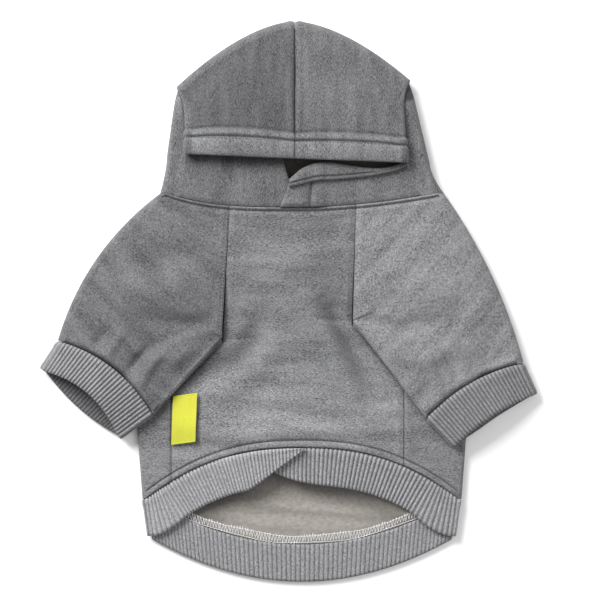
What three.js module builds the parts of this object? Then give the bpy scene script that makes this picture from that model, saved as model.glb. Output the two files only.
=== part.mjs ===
// A small dog's pullover hoodie of brushed fleece. It lies flat on its back, belly upwards, with its hood
// spread above the neck and its sleeves folded over the sides of the body.
// Millimetres. X runs to the right, Y from the hem towards the hood, Z up from the surface that it lies on.
// A rise is the height of the middle of a cloth wall above that surface.
import * as THREE from "three";

// Cloth
const FLEECE = 2; // wall of the panels, sleeves and hood
const RIB_WALL = 2.2; // wall of the cuffs and waistband, halfway up a rib
const RIB_DEPTH = 0.5; // how much thicker a rib is than the wall halfway up it
const RIB_PITCH = 4.2;
const HEM_WALL = 3.6; // turned hem of the hood
const SEAM_GAP = 0.4; // left between two pieces sewn edge to edge
const LAYER_GAP = 0.6; // least air between two layers that lie on each other
const PUFF = 3; // how far the air under a layer lifts its middle

// Body
const CHEST_WIDTH = 231; // from side fold to side fold
const HEM_SPAN = 223; // hem seams, from side fold to side fold
const BELLY_LENGTH = 167; // neck seam to hem seam down the middle of the belly
const HEM_ARCH = 36; // middle of the belly's hem seam above its ends
const BACK_DROP = 32; // middle of the back's hem seam below its ends
const HEM_CURVE = 2.35; // power of the front hem seam's arch
const YOKE_SPREAD = 1.1; // yoke of the back panel over that of the belly
const YOKE_WIDTH = 88; // belly panel between the sleeves, at the neck
const BELLY_WIDTH = 162; // belly panel between the side seams
const ARMHOLE_DROP = 58; // armpit to the level where the body has its full width
const WAISTBAND = 26; // height of the ribbed band
const BAND_OVERLAP = 44; // how far the ends of the band pass each other
const BAND_TIP = 2.2; // tip of the band's left end, past the body's middle
const BAND_TAPER = 46; // length over which an end of the band narrows to nothing
const TAPER_POWER = 1.35; // how steeply it narrows
const BAND_NARROWING = 3.6; // outer edge of the band nearer the middle than its seam, at a side fold
const BAND_SETTLING = 0.85; // rise of the band's outer edge over that of its seam
const FOLD_START = 0.75; // where the band begins to bend to a side fold, as a share of the way to it

// Neck
const NECK_WIDTH = 198;
const NECK_DIP = 10; // middle of the front neck seam below its ends
const NECK_RISE_BACK = 8; // middle of the back neck seam above its ends

// Sleeves
const ARMPIT_DROP = 92; // neck seam to armpit
const UNDERARM = 76; // armpit to cuff seam
const CUFF_WIDTH = 82;
const CUFF_LENGTH = 28;

// Hood
const HOOD_HEIGHT = 130; // neck seam to peak
const HOOD_CORNERS = 163; // from corner to corner
const CORNER_HEIGHT = 87; // neck seam to a corner
const FACE_WIDTH = 152; // brow from crown edge to crown edge
const BROW_HEIGHT = 33.5; // neck seam to brow
const HEM_WIDTH = 15;
const CHEEK_HEIGHT = 27; // neck seam to the top edge of a cheek
const CROWN_CURVE = 1.68; // power of the crown's outline
const PLEAT = 2.4; // how far the side strip reaches in under the crown's edge
const SIDE_WAIST = 0.58; // the hood's side at the brow, as a share of the way across from corner to neck

// Rises
const NECK_RISE = 9.5;
const BELLY_RISE = 12;
const HEM_RISE = 10.5;
const RAGLAN_RISE = 8.8;
const ARMPIT_RISE = 3.6;
const SIDE_RISE = 4.6;
const SHOULDER_RISE = 8.4;
const CHEEK_RISE = 9.5;
const BROW_RISE = 16.5;
const CROWN_RISE = 11;

// Label
const LABEL_DROP = 37; // armpits' level to the label's top
const LABEL_LENGTH = 34;
const LABEL_WIDTH = 17;
const LABEL_WALL = 0.7;
const LABEL_SLANT = 2.4; // how much higher the label's free edge lies than its sewn one

// How each side lies: shares of the sizes above, with the tilts in degrees off the way to the hem.
const LAY = {
  left: {
    sign: -1, yoke: 0.573, pit: 0.635, drop: 1, neckPower: 3.5,
    belly: 0.562, seamDrop: 0.24, underarm: 0.92, underarmTilt: 42, cuff: 1.038, cuffTilt: 52.7,
    shoulderBulge: 0.083, cuffSag: 0.093, outerEdge: 0.81, outerTilt: 33.2, innerEdge: 1.03, innerTilt: 53.7,
    nearSag: 0.11, farSag: -0.05, lift: 4, corner: 0.507, cornerUp: 0.966, mouth: 0.493, browUp: 1.09,
    lap: 0, cheekEnd: [{ x: -0.06, y: 1 }, { x: 0.01, y: 0 }], cheekTop: () => 1,
  },
  right: {
    sign: 1, yoke: 0.427, pit: 0.402, drop: 0.862, neckPower: 1.8,
    belly: 0.438, seamDrop: 0.28, underarm: 1.1, underarmTilt: 36.9, cuff: 0.963, cuffTilt: 60.8,
    shoulderBulge: 0.045, cuffSag: 0.066, outerEdge: 0.84, outerTilt: 24.4, innerEdge: 1.01, innerTilt: 43.3,
    nearSag: 0.045, farSag: 0.01, lift: 2.5, corner: 0.493, cornerUp: 1.02, mouth: 0.507, browUp: 0.92,
    lap: 1, cheekEnd: [{ x: -0.055, y: 0.72 }, { x: -0.093, y: 0 }],
    cheekTop: (across) => 0.64 + 0.4 * Math.sin(Math.PI * across ** 0.7),
    flap: (across) => 0.1 + 0.5 * hump(across),
  },
};
const LAP_REACH = 8; // how far past the middle the left cheek reaches under the right one
const HOOD_SHIFT = -0.025; // the hood's centre seam off the body's middle, as a share of the neck's width

const { lerp, smoothstep, clamp, degToRad } = THREE.MathUtils;
const UP = new THREE.Vector3(0, 0, 1);
const DOWN = new THREE.Vector3(0, 0, -1);
const FLOOR = FLEECE / 2;
const FOLD_STEPS = 4;

const plan = (x, y) => new THREE.Vector2(x, y);
const between = (a, b, share) => a.clone().lerp(b, share);
const shares = (steps) => Array.from({ length: steps + 1 }, (_, i) => i / steps);
const hump = (share) => 4 * share * (1 - share);
const moved = (point, way, distance) => point.clone().addScaledVector(way, distance);
// The way that is the given number of degrees off the way to the hem, towards the side of the sign.
const tilted = (degrees, sign) =>
  plan(sign * Math.sin(degToRad(degrees)), -Math.cos(degToRad(degrees)));

// A point of cloth: the middle of its wall, the way its outside faces, and how thick it is.
const knot = (point, rise, facing = UP, wall = FLEECE) => ({
  middle: new THREE.Vector3(point.x, point.y, rise), facing, wall,
});

// A point on the turn between two layers. Turn 0 is on the top layer and turn 1 on the layer beneath.
// The edge is the outermost point in plan, and out the way from the cloth to it.
function turnKnot(edge, out, top, under, turn, wall = FLEECE, outside = 1) {
  const radius = (top - under) / 2;
  const angle = Math.PI * (0.5 - turn);
  const way = new THREE.Vector3(out.x * Math.cos(angle), out.y * Math.cos(angle), Math.sin(angle));
  const centre = moved(edge, out, -radius - wall / 2);
  const middle = new THREE.Vector3(centre.x, centre.y, (top + under) / 2).addScaledVector(way, radius);
  return { middle, facing: way.multiplyScalar(outside), wall };
}
const turnStart = (edge, out, top, under, wall = FLEECE) =>
  moved(edge, out, -(top - under) / 2 - wall / 2);

// The way at right angles to a curve, turned to the same side as the hint.
function sideways(curve, share, hint) {
  const [from, to] = [curve(Math.max(0, share - 0.01)), curve(Math.min(1, share + 0.01))];
  const way = plan(from.y - to.y, to.x - from.x).normalize();
  return way.dot(hint) < 0 ? way.negate() : way;
}

// A flat stretch of cloth between four curves, as a function of the shares across and along it.
const spread = (first, last, left, right) => (across, along) => {
  const corners = between(
    between(first(0), first(1), across), between(last(0), last(1), across), along);
  return between(first(across), last(across), along)
    .add(between(left(along), right(along), across)).sub(corners);
};

// A closed wall over grids of knots. Knots at one place are welded, and keep says which cells there are.
function clothWall(patches) {
  const positions = [];
  const index = [];
  const ids = new Map();
  const uses = new Map();
  const outer = (id) => 2 * id;
  const inner = (id) => 2 * id + 1;
  const idOf = (k) => {
    const ends = [k.wall / 2, -k.wall / 2].flatMap((depth) =>
      [...k.middle.clone().addScaledVector(k.facing, depth)]);
    const key = ends.map((x) => Math.round(x * 200)).join(" ");
    if (!ids.has(key)) {
      ids.set(key, positions.length / 6);
      positions.push(...ends);
    }
    return ids.get(key);
  };
  const face = (turned, a, b, c) => {
    if (a !== b && b !== c && c !== a) index.push(...(turned ? [a, c, b] : [a, b, c]));
  };
  for (const { rows, keep = () => true } of patches) {
    const cells = [];
    let winding = 0;
    for (let i = 0; i + 1 < rows.length; i++) {
      for (let j = 0; j + 1 < rows[i].length; j++) {
        if (!keep(i, j)) continue;
        const ring = [rows[i][j], rows[i][j + 1], rows[i + 1][j + 1], rows[i + 1][j]];
        const one = ring[2].middle.clone().sub(ring[0].middle);
        const other = ring[3].middle.clone().sub(ring[1].middle);
        winding += one.cross(other).dot(ring[0].facing);
        cells.push(ring.map(idOf));
      }
    }
    const turned = winding < 0;
    for (const ring of cells) {
      const [a, b, c, d] = ring;
      face(turned, outer(a), outer(b), outer(c));
      face(turned, outer(a), outer(c), outer(d));
      face(turned, inner(a), inner(c), inner(b));
      face(turned, inner(a), inner(d), inner(c));
      ring.forEach((from, n) => {
        const to = ring[(n + 1) % ring.length];
        if (from === to) return;
        const key = [Math.min(from, to), Math.max(from, to)].join(" ");
        uses.set(key, uses.has(key) ? null : { turned, from, to });
      });
    }
  }
  for (const edge of uses.values()) {
    if (!edge) continue;
    face(edge.turned, outer(edge.from), inner(edge.from), inner(edge.to));
    face(edge.turned, outer(edge.from), inner(edge.to), outer(edge.to));
  }
  const geometry = new THREE.BufferGeometry();
  geometry.setAttribute("position", new THREE.Float32BufferAttribute(positions, 3));
  geometry.setIndex(index);
  return geometry;
}

// Places on each side of the body, in plan.
function placesOf(name) {
  const lay = LAY[name];
  const { sign } = lay;
  const out = plan(sign, 0);
  const at = (x, y) => plan(sign * x, y);
  const armpit = at(lay.pit * YOKE_WIDTH, -lay.drop * ARMPIT_DROP);
  const fullY = -ARMPIT_DROP - ARMHOLE_DROP;
  const sideY = -BELLY_LENGTH - HEM_ARCH;
  const halfHem = HEM_SPAN / 2;
  // The body's side fold, from the armpit to the hem.
  const sideFold = (share) => {
    if (share > 0.5) return between(at(CHEST_WIDTH / 2, fullY), at(halfHem, sideY), 2 * share - 1);
    const angle = share * Math.PI;
    const reach = CHEST_WIDTH / 2 - sign * armpit.x;
    return at(sign * armpit.x + reach * Math.sin(angle), fullY + (armpit.y - fullY) * Math.cos(angle));
  };
  const halfWidthAt = (y) => {
    if (y > armpit.y) return sign * armpit.x;
    if (y < fullY) return lerp(CHEST_WIDTH / 2, halfHem, clamp((y - fullY) / (sideY - fullY), 0, 1));
    const reach = CHEST_WIDTH / 2 - sign * armpit.x;
    return sign * armpit.x + reach * Math.sqrt(1 - ((y - fullY) / (armpit.y - fullY)) ** 2);
  };
  const neckEnd = at(NECK_WIDTH / 2, NECK_DIP);
  const cuffInner = moved(armpit, tilted(lay.underarmTilt, sign), lay.underarm * UNDERARM);
  const cuffOuter = moved(cuffInner, tilted(180 - lay.cuffTilt, sign), lay.cuff * CUFF_WIDTH);
  const rimInner = moved(cuffInner, tilted(lay.innerTilt, sign), lay.innerEdge * CUFF_LENGTH);
  const rimOuter = moved(cuffOuter, tilted(lay.outerTilt, sign), lay.outerEdge * CUFF_LENGTH);
  return {
    ...lay, name, out, at, armpit, fullY, sideY, sideFold, halfWidthAt,
    neckEnd, cuffInner, cuffOuter, rimInner, rimOuter,
  };
}
const PLACES = { left: placesOf("left"), right: placesOf("right") };
const placesAt = (x) => (x < 0 ? PLACES.left : PLACES.right);

// Seams, in plan.
const SHOULDER_TURN = (SHOULDER_RISE - FLOOR) / 2 + FLOOR;
const neckShare = (x) => clamp(Math.abs(x) / (NECK_WIDTH / 2 - SHOULDER_TURN), 0, 1);
const frontNeck = (x) => plan(x, NECK_DIP * neckShare(x) ** placesAt(x).neckPower);
const backNeck = (x) => plan(x, NECK_DIP + NECK_RISE_BACK * (1 - neckShare(x) ** 2));
const SIDE_TURN = (SIDE_RISE - FLOOR) / 2 + FLOOR;
const hemShare = (x) => clamp(Math.abs(x) / (HEM_SPAN / 2 - SIDE_TURN), 0, 1);
const frontHem = (x) => plan(x, -BELLY_LENGTH - HEM_ARCH * hemShare(x) ** HEM_CURVE);
const backHem = (x) => plan(x, -BELLY_LENGTH - HEM_ARCH - BACK_DROP * (1 - hemShare(x) ** 2));

// Rise of the body's upper layer, between its side folds.
function bodyRise(x, y) {
  const side = placesAt(x);
  const down = clamp(y / side.armpit.y, 0, 1);
  const past = clamp((side.armpit.y - y) / (side.armpit.y - side.sideY), 0, 1);
  const half = down < 1 ? lerp(side.yoke * YOKE_WIDTH, side.halfWidthAt(y), down) : side.halfWidthAt(y);
  const edge = down < 1
    ? lerp(RAGLAN_RISE, ARMPIT_RISE, smoothstep(down, 0.4, 1))
    : lerp(ARMPIT_RISE, SIDE_RISE, smoothstep(past, 0, 0.6));
  const yoke = lerp(NECK_RISE, BELLY_RISE, smoothstep(down, 0, 0.8));
  const middle = lerp(yoke, HEM_RISE, smoothstep(past, 0.3, 1));
  return lerp(edge, middle, (1 + Math.cos(Math.PI * clamp(Math.abs(x) / half, 0, 1))) / 2);
}

// Rise of a sleeve's lower layer. It lies on the body where that is under it, and on the floor elsewhere.
function restRise(x, y, wall = FLEECE) {
  const side = placesAt(x);
  const reach = CHEST_WIDTH / 2 - side.sign * side.armpit.x;
  const beyond = Math.hypot(
    Math.max(0, side.sign * (x - side.armpit.x)) / reach,
    Math.max(0, y - side.fullY) / (side.armpit.y - side.fullY));
  const away = smoothstep(plan(x, y).distanceTo(side.armpit), 0, CUFF_LENGTH);
  const onBody = bodyRise(x, y) + FLOOR + LAYER_GAP * (1 + 1.5 * away) + wall / 2;
  return lerp(onBody, wall / 2, smoothstep(beyond, 1.08, 1.3));
}
const neckRise = (x) => {
  const yoke = placesAt(x).yoke * YOKE_WIDTH;
  if (Math.abs(x) < yoke) return bodyRise(x, 0);
  return lerp(RAGLAN_RISE, SHOULDER_RISE, clamp((Math.abs(x) - yoke) / (NECK_WIDTH / 2 - yoke), 0, 1));
};

// Rows of the body, as shares of the way from the neck to the armpit and from the armpit to the hem.
const YOKE_ROWS = 6;
const BODY_ROWS = 10;
const BODY_LINES = [
  ...shares(YOKE_ROWS).map((share) => ({ yoke: share, below: 0 })),
  ...shares(BODY_ROWS).slice(1).map((share) => ({ yoke: 1, below: share })),
];
const linesAlong = (line) => (line.yoke * YOKE_ROWS + line.below * BODY_ROWS) / (YOKE_ROWS + BODY_ROWS);
const lineAt = (along) => {
  const row = along * (YOKE_ROWS + BODY_ROWS);
  return { yoke: Math.min(1, row / YOKE_ROWS), below: Math.max(0, row - YOKE_ROWS) / BODY_ROWS };
};
// The side fold faces outwards from the armpit down, so that the turn stands clear of the yoke.
const FIRST_LEAN = 0.08;
const sideOut = (side, share) => sideways(side.sideFold, Math.max(share, FIRST_LEAN), plan(side.sign, 1));
function flapStart(side, share) {
  const edge = side.sideFold(share);
  return turnStart(edge, sideOut(side, share), bodyRise(edge.x, edge.y), FLOOR);
}
function bellySeam(side, share) {
  const x = side.belly * BELLY_WIDTH;
  const knee = side.at(x, side.armpit.y - side.seamDrop * BELLY_LENGTH);
  if (share < 0.5) return between(flapStart(side, 0), knee, 2 * share);
  return between(knee, frontHem(side.sign * x), 2 * share - 1);
}

// The belly seam moved by half its gap, outwards or inwards.
function besideSeam(side, share, distance) {
  const way = sideways((at) => bellySeam(side, at), share, side.out);
  return moved(bellySeam(side, share), way, distance);
}

function bellyPanel() {
  const inset = SEAM_GAP / 2;
  const edge = (side) => (along) => {
    const line = lineAt(along);
    if (line.below > 0) return besideSeam(side, line.below, -inset);
    const top = frontNeck(side.sign * side.yoke * YOKE_WIDTH);
    return moved(between(top, flapStart(side, 0), line.yoke), side.out, lerp(-inset, -SEAM_GAP, line.yoke));
  };
  const [left, right] = [edge(PLACES.left), edge(PLACES.right)];
  const first = (across) => moved(frontNeck(lerp(left(0).x, right(0).x, across)), plan(0, -1), inset);
  const last = (across) => moved(frontHem(lerp(left(1).x, right(1).x, across)), plan(0, 1), inset);
  const shape = spread(first, last, left, right);
  const rows = BODY_LINES.map((line) => shares(12).map((across) => {
    const point = shape(across, linesAlong(line));
    return knot(point, bodyRise(point.x, point.y));
  }));
  return clothWall([{ rows }]);
}

function backPanel() {
  const inset = SEAM_GAP / 2;
  const floorEdge = (side) => (along) => {
    const line = lineAt(along);
    if (line.below > 0) return flapStart(side, line.below);
    const top = moved(backNeck(side.sign * side.yoke * YOKE_WIDTH * YOKE_SPREAD), side.out, -inset);
    return between(top, flapStart(side, 0), line.yoke);
  };
  const [left, right] = [floorEdge(PLACES.left), floorEdge(PLACES.right)];
  const first = (across) => moved(backNeck(lerp(left(0).x, right(0).x, across)), plan(0, -1), inset);
  const last = (across) => moved(backHem(lerp(left(1).x, right(1).x, across)), plan(0, 1), inset);
  const floor = spread(first, last, left, right);
  const flapSteps = 3;
  // From the belly seam to the floor, on one side.
  const wrap = (side, below) => {
    const edge = side.sideFold(below);
    const seam = below > 0 ? besideSeam(side, below, inset) : bellySeam(side, below);
    const start = flapStart(side, below);
    const top = bodyRise(edge.x, edge.y);
    const flap = shares(flapSteps).slice(0, -1).map((share) => {
      const point = between(seam, start, share);
      const chord = between(bellySeam(side, 1), flapStart(side, 1), share);
      point.y += (frontHem(chord.x).y - chord.y) * below ** 2;
      return knot(point, below > 0 ? bodyRise(point.x, point.y) : top);
    });
    const turn = shares(FOLD_STEPS).map((share) => turnKnot(edge, sideOut(side, below), top, FLOOR, share));
    return [...flap, ...turn];
  };
  const rows = BODY_LINES.map((line) => [
    ...wrap(PLACES.left, line.below),
    ...shares(14).slice(1, -1).map((across) => knot(floor(across, linesAlong(line)), FLOOR, DOWN)),
    ...wrap(PLACES.right, line.below).reverse(),
  ]);
  for (const [i, line] of BODY_LINES.entries()) {
    if (line.below > 0) continue;
    const reach = flapSteps + FOLD_STEPS;
    rows[i][reach] = knot(left(linesAlong(line)), FLOOR, DOWN);
    rows[i][rows[i].length - 1 - reach] = knot(right(linesAlong(line)), FLOOR, DOWN);
  }
  const reach = flapSteps + FOLD_STEPS;
  const keep = (i, j) => i >= YOKE_ROWS || (j >= reach && j < rows[0].length - 1 - reach);
  return clothWall([{ rows, keep }]);
}

// A sleeve and its cuff share these lines. Along runs from the neck to the cuff seam.
const SLEEVE_ROWS = 7;
const UNDERARM_ROWS = 7;
const PIT_SHARE = SLEEVE_ROWS / (SLEEVE_ROWS + UNDERARM_ROWS);
function sleeveLines(side) {
  const inward = plan(-side.sign, 0);
  const shoulder = (along) => {
    const chord = side.cuffOuter.clone().sub(side.neckEnd);
    const way = sideways((share) => between(side.neckEnd, side.cuffOuter, share), 0.5, side.out);
    return moved(between(side.neckEnd, side.cuffOuter, along), way,
      side.shoulderBulge * chord.length() * hump(along));
  };
  const shoulderOut = (along) =>
    between(side.out, sideways(shoulder, along, side.out), smoothstep(along, 0, 0.2)).normalize();
  const underarm = (along) =>
    between(side.armpit, side.cuffInner, clamp((along - PIT_SHARE) / (1 - PIT_SHARE), 0, 1));
  const underarmOut = sideways((share) => between(side.armpit, side.cuffInner, share), 0.5, inward);
  const turns = (edge, wall = FLEECE) => {
    const under = restRise(edge.x, edge.y, wall);
    const pinch = under + wall + LAYER_GAP;
    return { under, pinch, full: Math.max(SHOULDER_RISE, pinch) };
  };
  return { shoulder, shoulderOut, underarm, underarmOut, turns };
}

function sleeveRise(side, point, across, along) {
  const least = restRise(point.x, point.y) + FLEECE + PUFF;
  const seam = lerp(RAGLAN_RISE, 0, smoothstep(along, PIT_SHARE, 1));
  const own = lerp(seam, SHOULDER_RISE, across) + PUFF * hump(across) * smoothstep(along, 0, 0.35);
  return Math.max(least, own);
}

function sleeve(side) {
  const lines = sleeveLines(side);
  const inset = SEAM_GAP / 2;
  const outerStart = (along) => {
    const edge = lines.shoulder(along);
    const { under, full } = lines.turns(edge);
    return turnStart(edge, lines.shoulderOut(along), full, under);
  };
  const innerStart = (along) => {
    const edge = lines.underarm(along);
    const { under, pinch } = lines.turns(edge);
    return turnStart(edge, lines.underarmOut, pinch, under);
  };
  const yoke = side.yoke * YOKE_WIDTH;
  const frontSeam = (along) => (along < PIT_SHARE
    ? moved(between(frontNeck(side.sign * yoke), side.armpit, along / PIT_SHARE), side.out, inset)
    : innerStart(along));
  const backTop = backNeck(side.sign * yoke * YOKE_SPREAD);
  const backSeam = (along) => (along < PIT_SHARE
    ? moved(between(backTop, side.armpit, along / PIT_SHARE), side.out, inset)
    : innerStart(along));
  const sagWay = tilted(90 + side.cuffTilt, -side.sign);
  const cuffSeam = (across) =>
    moved(between(innerStart(1), outerStart(1), across), sagWay, side.cuffSag * CUFF_WIDTH * hump(across));
  const neckRow = (neck, start) => (across) => {
    const x = lerp(start.x, outerStart(0).x, across);
    return moved(neck(x), plan(0, -1), inset);
  };
  const front = spread(neckRow(frontNeck, frontSeam(0)), cuffSeam, frontSeam, outerStart);
  const under = spread(neckRow(backNeck, backSeam(0)), cuffSeam, backSeam, outerStart);
  const steps = 9;
  const rows = shares(SLEEVE_ROWS + UNDERARM_ROWS).map((along) => {
    const outerEdge = lines.shoulder(along);
    if (along === 0) outerEdge.y -= inset;
    const outer = lines.turns(outerEdge);
    const innerEdge = lines.underarm(along);
    const inner = lines.turns(innerEdge);
    return [
      ...shares(steps).slice(0, -1).map((across) => {
        const point = front(across, along);
        const rise = across === 0 && along >= PIT_SHARE
          ? inner.pinch : sleeveRise(side, point, across, along);
        return knot(point, rise);
      }),
      ...shares(FOLD_STEPS).map((turn) =>
        turnKnot(outerEdge, lines.shoulderOut(along), outer.full, outer.under, turn)),
      ...shares(steps).reverse().slice(1).map((across) => {
        const point = under(across, along);
        const rise = across === 0 && along >= PIT_SHARE ? inner.under : restRise(point.x, point.y);
        return knot(point, rise, DOWN);
      }),
      ...shares(FOLD_STEPS).reverse().slice(1).map((turn) =>
        turnKnot(innerEdge, lines.underarmOut, inner.pinch, inner.under, turn)),
    ];
  });
  const keep = (i, j) => i >= SLEEVE_ROWS || j < 2 * steps + FOLD_STEPS;
  return clothWall([{ rows, keep }]);
}

// The ribs of a band stand out on every second knot.
const ribWall = (step) => RIB_WALL + (step % 2 ? -RIB_DEPTH : RIB_DEPTH);
const RIB_FLOOR = (RIB_WALL + RIB_DEPTH) / 2;
const evenSteps = (length) => 2 * Math.round(length / RIB_PITCH);

function cuff(side) {
  const lines = sleeveLines(side);
  const wall = RIB_WALL + RIB_DEPTH;
  const sagWay = tilted(90 + side.cuffTilt, -side.sign);
  const outer = (along) => between(side.cuffOuter, side.rimOuter, along);
  const inner = (along) => between(side.cuffInner, side.rimInner, along);
  const outerOut = (along) =>
    between(lines.shoulderOut(1), sideways(outer, 0.5, side.out), along).normalize();
  const innerOut = (along) =>
    between(lines.underarmOut, sideways(inner, 0.5, side.out.clone().negate()), along).normalize();
  const gap = moved(plan(0, 0), tilted((side.outerTilt + side.innerTilt) / 2, side.sign), 2 * SEAM_GAP);
  const rises = (edge, along) => {
    const under = restRise(edge.x, edge.y, wall);
    const shut = under + wall + LAYER_GAP;
    return { under, shut, open: lerp(Math.max(SHOULDER_RISE, shut), shut + side.lift, along) };
  };
  const starts = (along) => {
    const [a, b] = [inner(along), outer(along)];
    const [low, high] = [rises(a, along), rises(b, along)];
    return [
      turnStart(a, innerOut(along), low.shut, low.under, wall),
      turnStart(b, outerOut(along), high.open, high.under, wall),
    ];
  };
  const layer = (across, along, rimSag) => {
    const [a, b] = starts(along);
    const sag = lerp(side.cuffSag, rimSag, along) * CUFF_WIDTH * hump(across);
    return moved(between(a, b, across), sagWay, sag).add(gap);
  };
  const steps = evenSteps(CUFF_WIDTH * side.cuff);
  const rows = [0, 1].map((along) => {
    const [a, b] = [inner(along), outer(along)];
    const [low, high] = [rises(a, along), rises(b, along)];
    const ring = [
      ...shares(steps).slice(0, -1).map((across) => {
        const point = layer(across, along, side.nearSag);
        const least = restRise(point.x, point.y, wall) + wall + LAYER_GAP;
        const own = lerp(low.shut, high.open, across) + (PUFF + side.lift * along) * hump(across);
        return knot(point, across === 0 ? low.shut : Math.max(least, own));
      }),
      ...shares(FOLD_STEPS).map((turn) =>
        turnKnot(b.clone().add(gap), outerOut(along), high.open, high.under, turn, wall)),
      ...shares(steps).reverse().slice(1).map((across) => {
        const point = layer(across, along, side.farSag);
        return knot(point, across === 0 ? low.under : restRise(point.x, point.y, wall), DOWN);
      }),
      ...shares(FOLD_STEPS).reverse().slice(1).map((turn) =>
        turnKnot(a.clone().add(gap), innerOut(along), low.shut, low.under, turn, wall)),
    ];
    // The tight inner turn has no ribs.
    const plain = (step) => step === 0 || step >= 2 * steps + FOLD_STEPS;
    return ring.map((k, step) => ({ ...k, wall: plain(step) ? RIB_WALL - RIB_DEPTH : ribWall(step) }));
  });
  return clothWall([{ rows }]);
}

// The ribbed band runs from its right end, which lies beneath, round the back to its left end on top.
function waistband() {
  const wall = RIB_WALL + RIB_DEPTH;
  const halfHem = HEM_SPAN / 2;
  const tipRight = BAND_TIP - BAND_OVERLAP;
  const foldRise = Math.max(SIDE_RISE, RIB_FLOOR + wall + LAYER_GAP);
  // The reach is how far down the band a point lies, as a share of its full height.
  const rise = (x, reach) => bodyRise(x, frontHem(x).y) * lerp(1, BAND_SETTLING, reach);
  const hemFold = (side, share) =>
    side.at(halfHem - BAND_NARROWING * share, side.sideY - SEAM_GAP - WAISTBAND * share);
  const start = (side, share) => turnStart(hemFold(side, share), side.out, foldRise, RIB_FLOOR, wall);
  const front = (side, tip, above) => (across, share) => {
    const fold = start(side, 0);
    const x = lerp(tip, fold.x, across);
    const taper = clamp(1 - (side.sign * (x - tip)) / BAND_TAPER, 0, 1);
    const reach = share * (1 - taper ** TAPER_POWER);
    const top = frontHem(x);
    const slope = plan(frontHem(x + 1).y - frontHem(x - 1).y, -2).normalize();
    const own = moved(top, slope, 2 * SEAM_GAP + WAISTBAND * reach);
    const end = start(side, share);
    const folding = smoothstep(across, FOLD_START, 1);
    const beside = plan(end.x + (x - fold.x), end.y + (top.y - fold.y) * (1 - share));
    const point = between(own, beside, folding);
    const level = lerp(rise(x, reach), foldRise, folding);
    const past = side.sign * (x - tip);
    const lap = above * (wall + 2 * LAYER_GAP) * (1 - smoothstep(past, BAND_OVERLAP, BAND_OVERLAP * 1.5));
    return knot(point, level + lap);
  };
  const back = (across, share) => {
    const [a, b] = [start(PLACES.left, share), start(PLACES.right, share)];
    const x = lerp(a.x, b.x, across);
    return knot(plan(x, backHem(x).y - SEAM_GAP - WAISTBAND * share), RIB_FLOOR, DOWN);
  };
  const rows = [0, 1].map((share) => {
    const strip = [];
    const rightSteps = evenSteps(halfHem - tipRight);
    const leftSteps = evenSteps(halfHem + BAND_TIP);
    const right = front(PLACES.right, tipRight, 0);
    const left = front(PLACES.left, BAND_TIP, 1);
    strip.push(...shares(rightSteps).slice(0, -1).map((across) => right(across, share)));
    for (const turn of shares(FOLD_STEPS)) {
      strip.push(turnKnot(hemFold(PLACES.right, share), PLACES.right.out, foldRise, RIB_FLOOR, turn, wall));
    }
    strip.push(...shares(evenSteps(HEM_SPAN)).reverse().slice(1, -1).map((across) => back(across, share)));
    for (const turn of shares(FOLD_STEPS).reverse()) {
      strip.push(turnKnot(hemFold(PLACES.left, share), PLACES.left.out, foldRise, RIB_FLOOR, turn, wall));
    }
    strip.push(...shares(leftSteps).reverse().slice(1).map((across) => left(across, share)));
    return strip.map((k, step) => ({ ...k, wall: ribWall(step) }));
  });
  return clothWall([{ rows }]);
}

// Hood. One half hangs from the centre seam: the crown layer from the brow up to the top edge and down the
// back layer to the neck, the side from the crown's edge over the side strip to the back, and the cheek below
// the face.
const HOOD_MIDDLE = HOOD_SHIFT * NECK_WIDTH;
const CROWN_STEPS = 8;
const SIDE_STEPS = 10;
const BROW_LINES = [0, 0.9, 1.05]; // the crown's first lines, as shares of the hem's width above the brow
const CROWN_LINES = 8;
const CHEEK_LINES = 4;
// The side's section at the brow, from the crown's edge to the back layer. Out is in walls of fleece past the
// crown's edge, or in turns of the strip short of its own edge. Rise is a share of the way up that layer, and
// facing the degrees off the way outwards.
const SIDE_SECTION = [
  { from: "crown", out: 0, rise: 1, facing: 90 },
  { from: "crown", out: 0.85, rise: 0.9, facing: 45 },
  { from: "crown", out: 1.2, rise: 0.65, facing: 0 },
  { from: "crown", out: 1.2, rise: 0.32, facing: 0 },
  { from: "crown", out: 1.5, rise: 0.09, facing: 45 },
  { from: "crown", out: 2.2, rise: 0, facing: 90 },
  { from: "strip", out: -1, rise: 1, facing: 90 },
  { from: "strip", out: -0.3, rise: 0.85, facing: 45 },
  { from: "strip", out: 0, rise: 0.5, facing: 0 },
  { from: "strip", out: -0.3, rise: 0.15, facing: -45 },
  { from: "strip", out: -1, rise: 0, facing: -90 },
];

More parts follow.
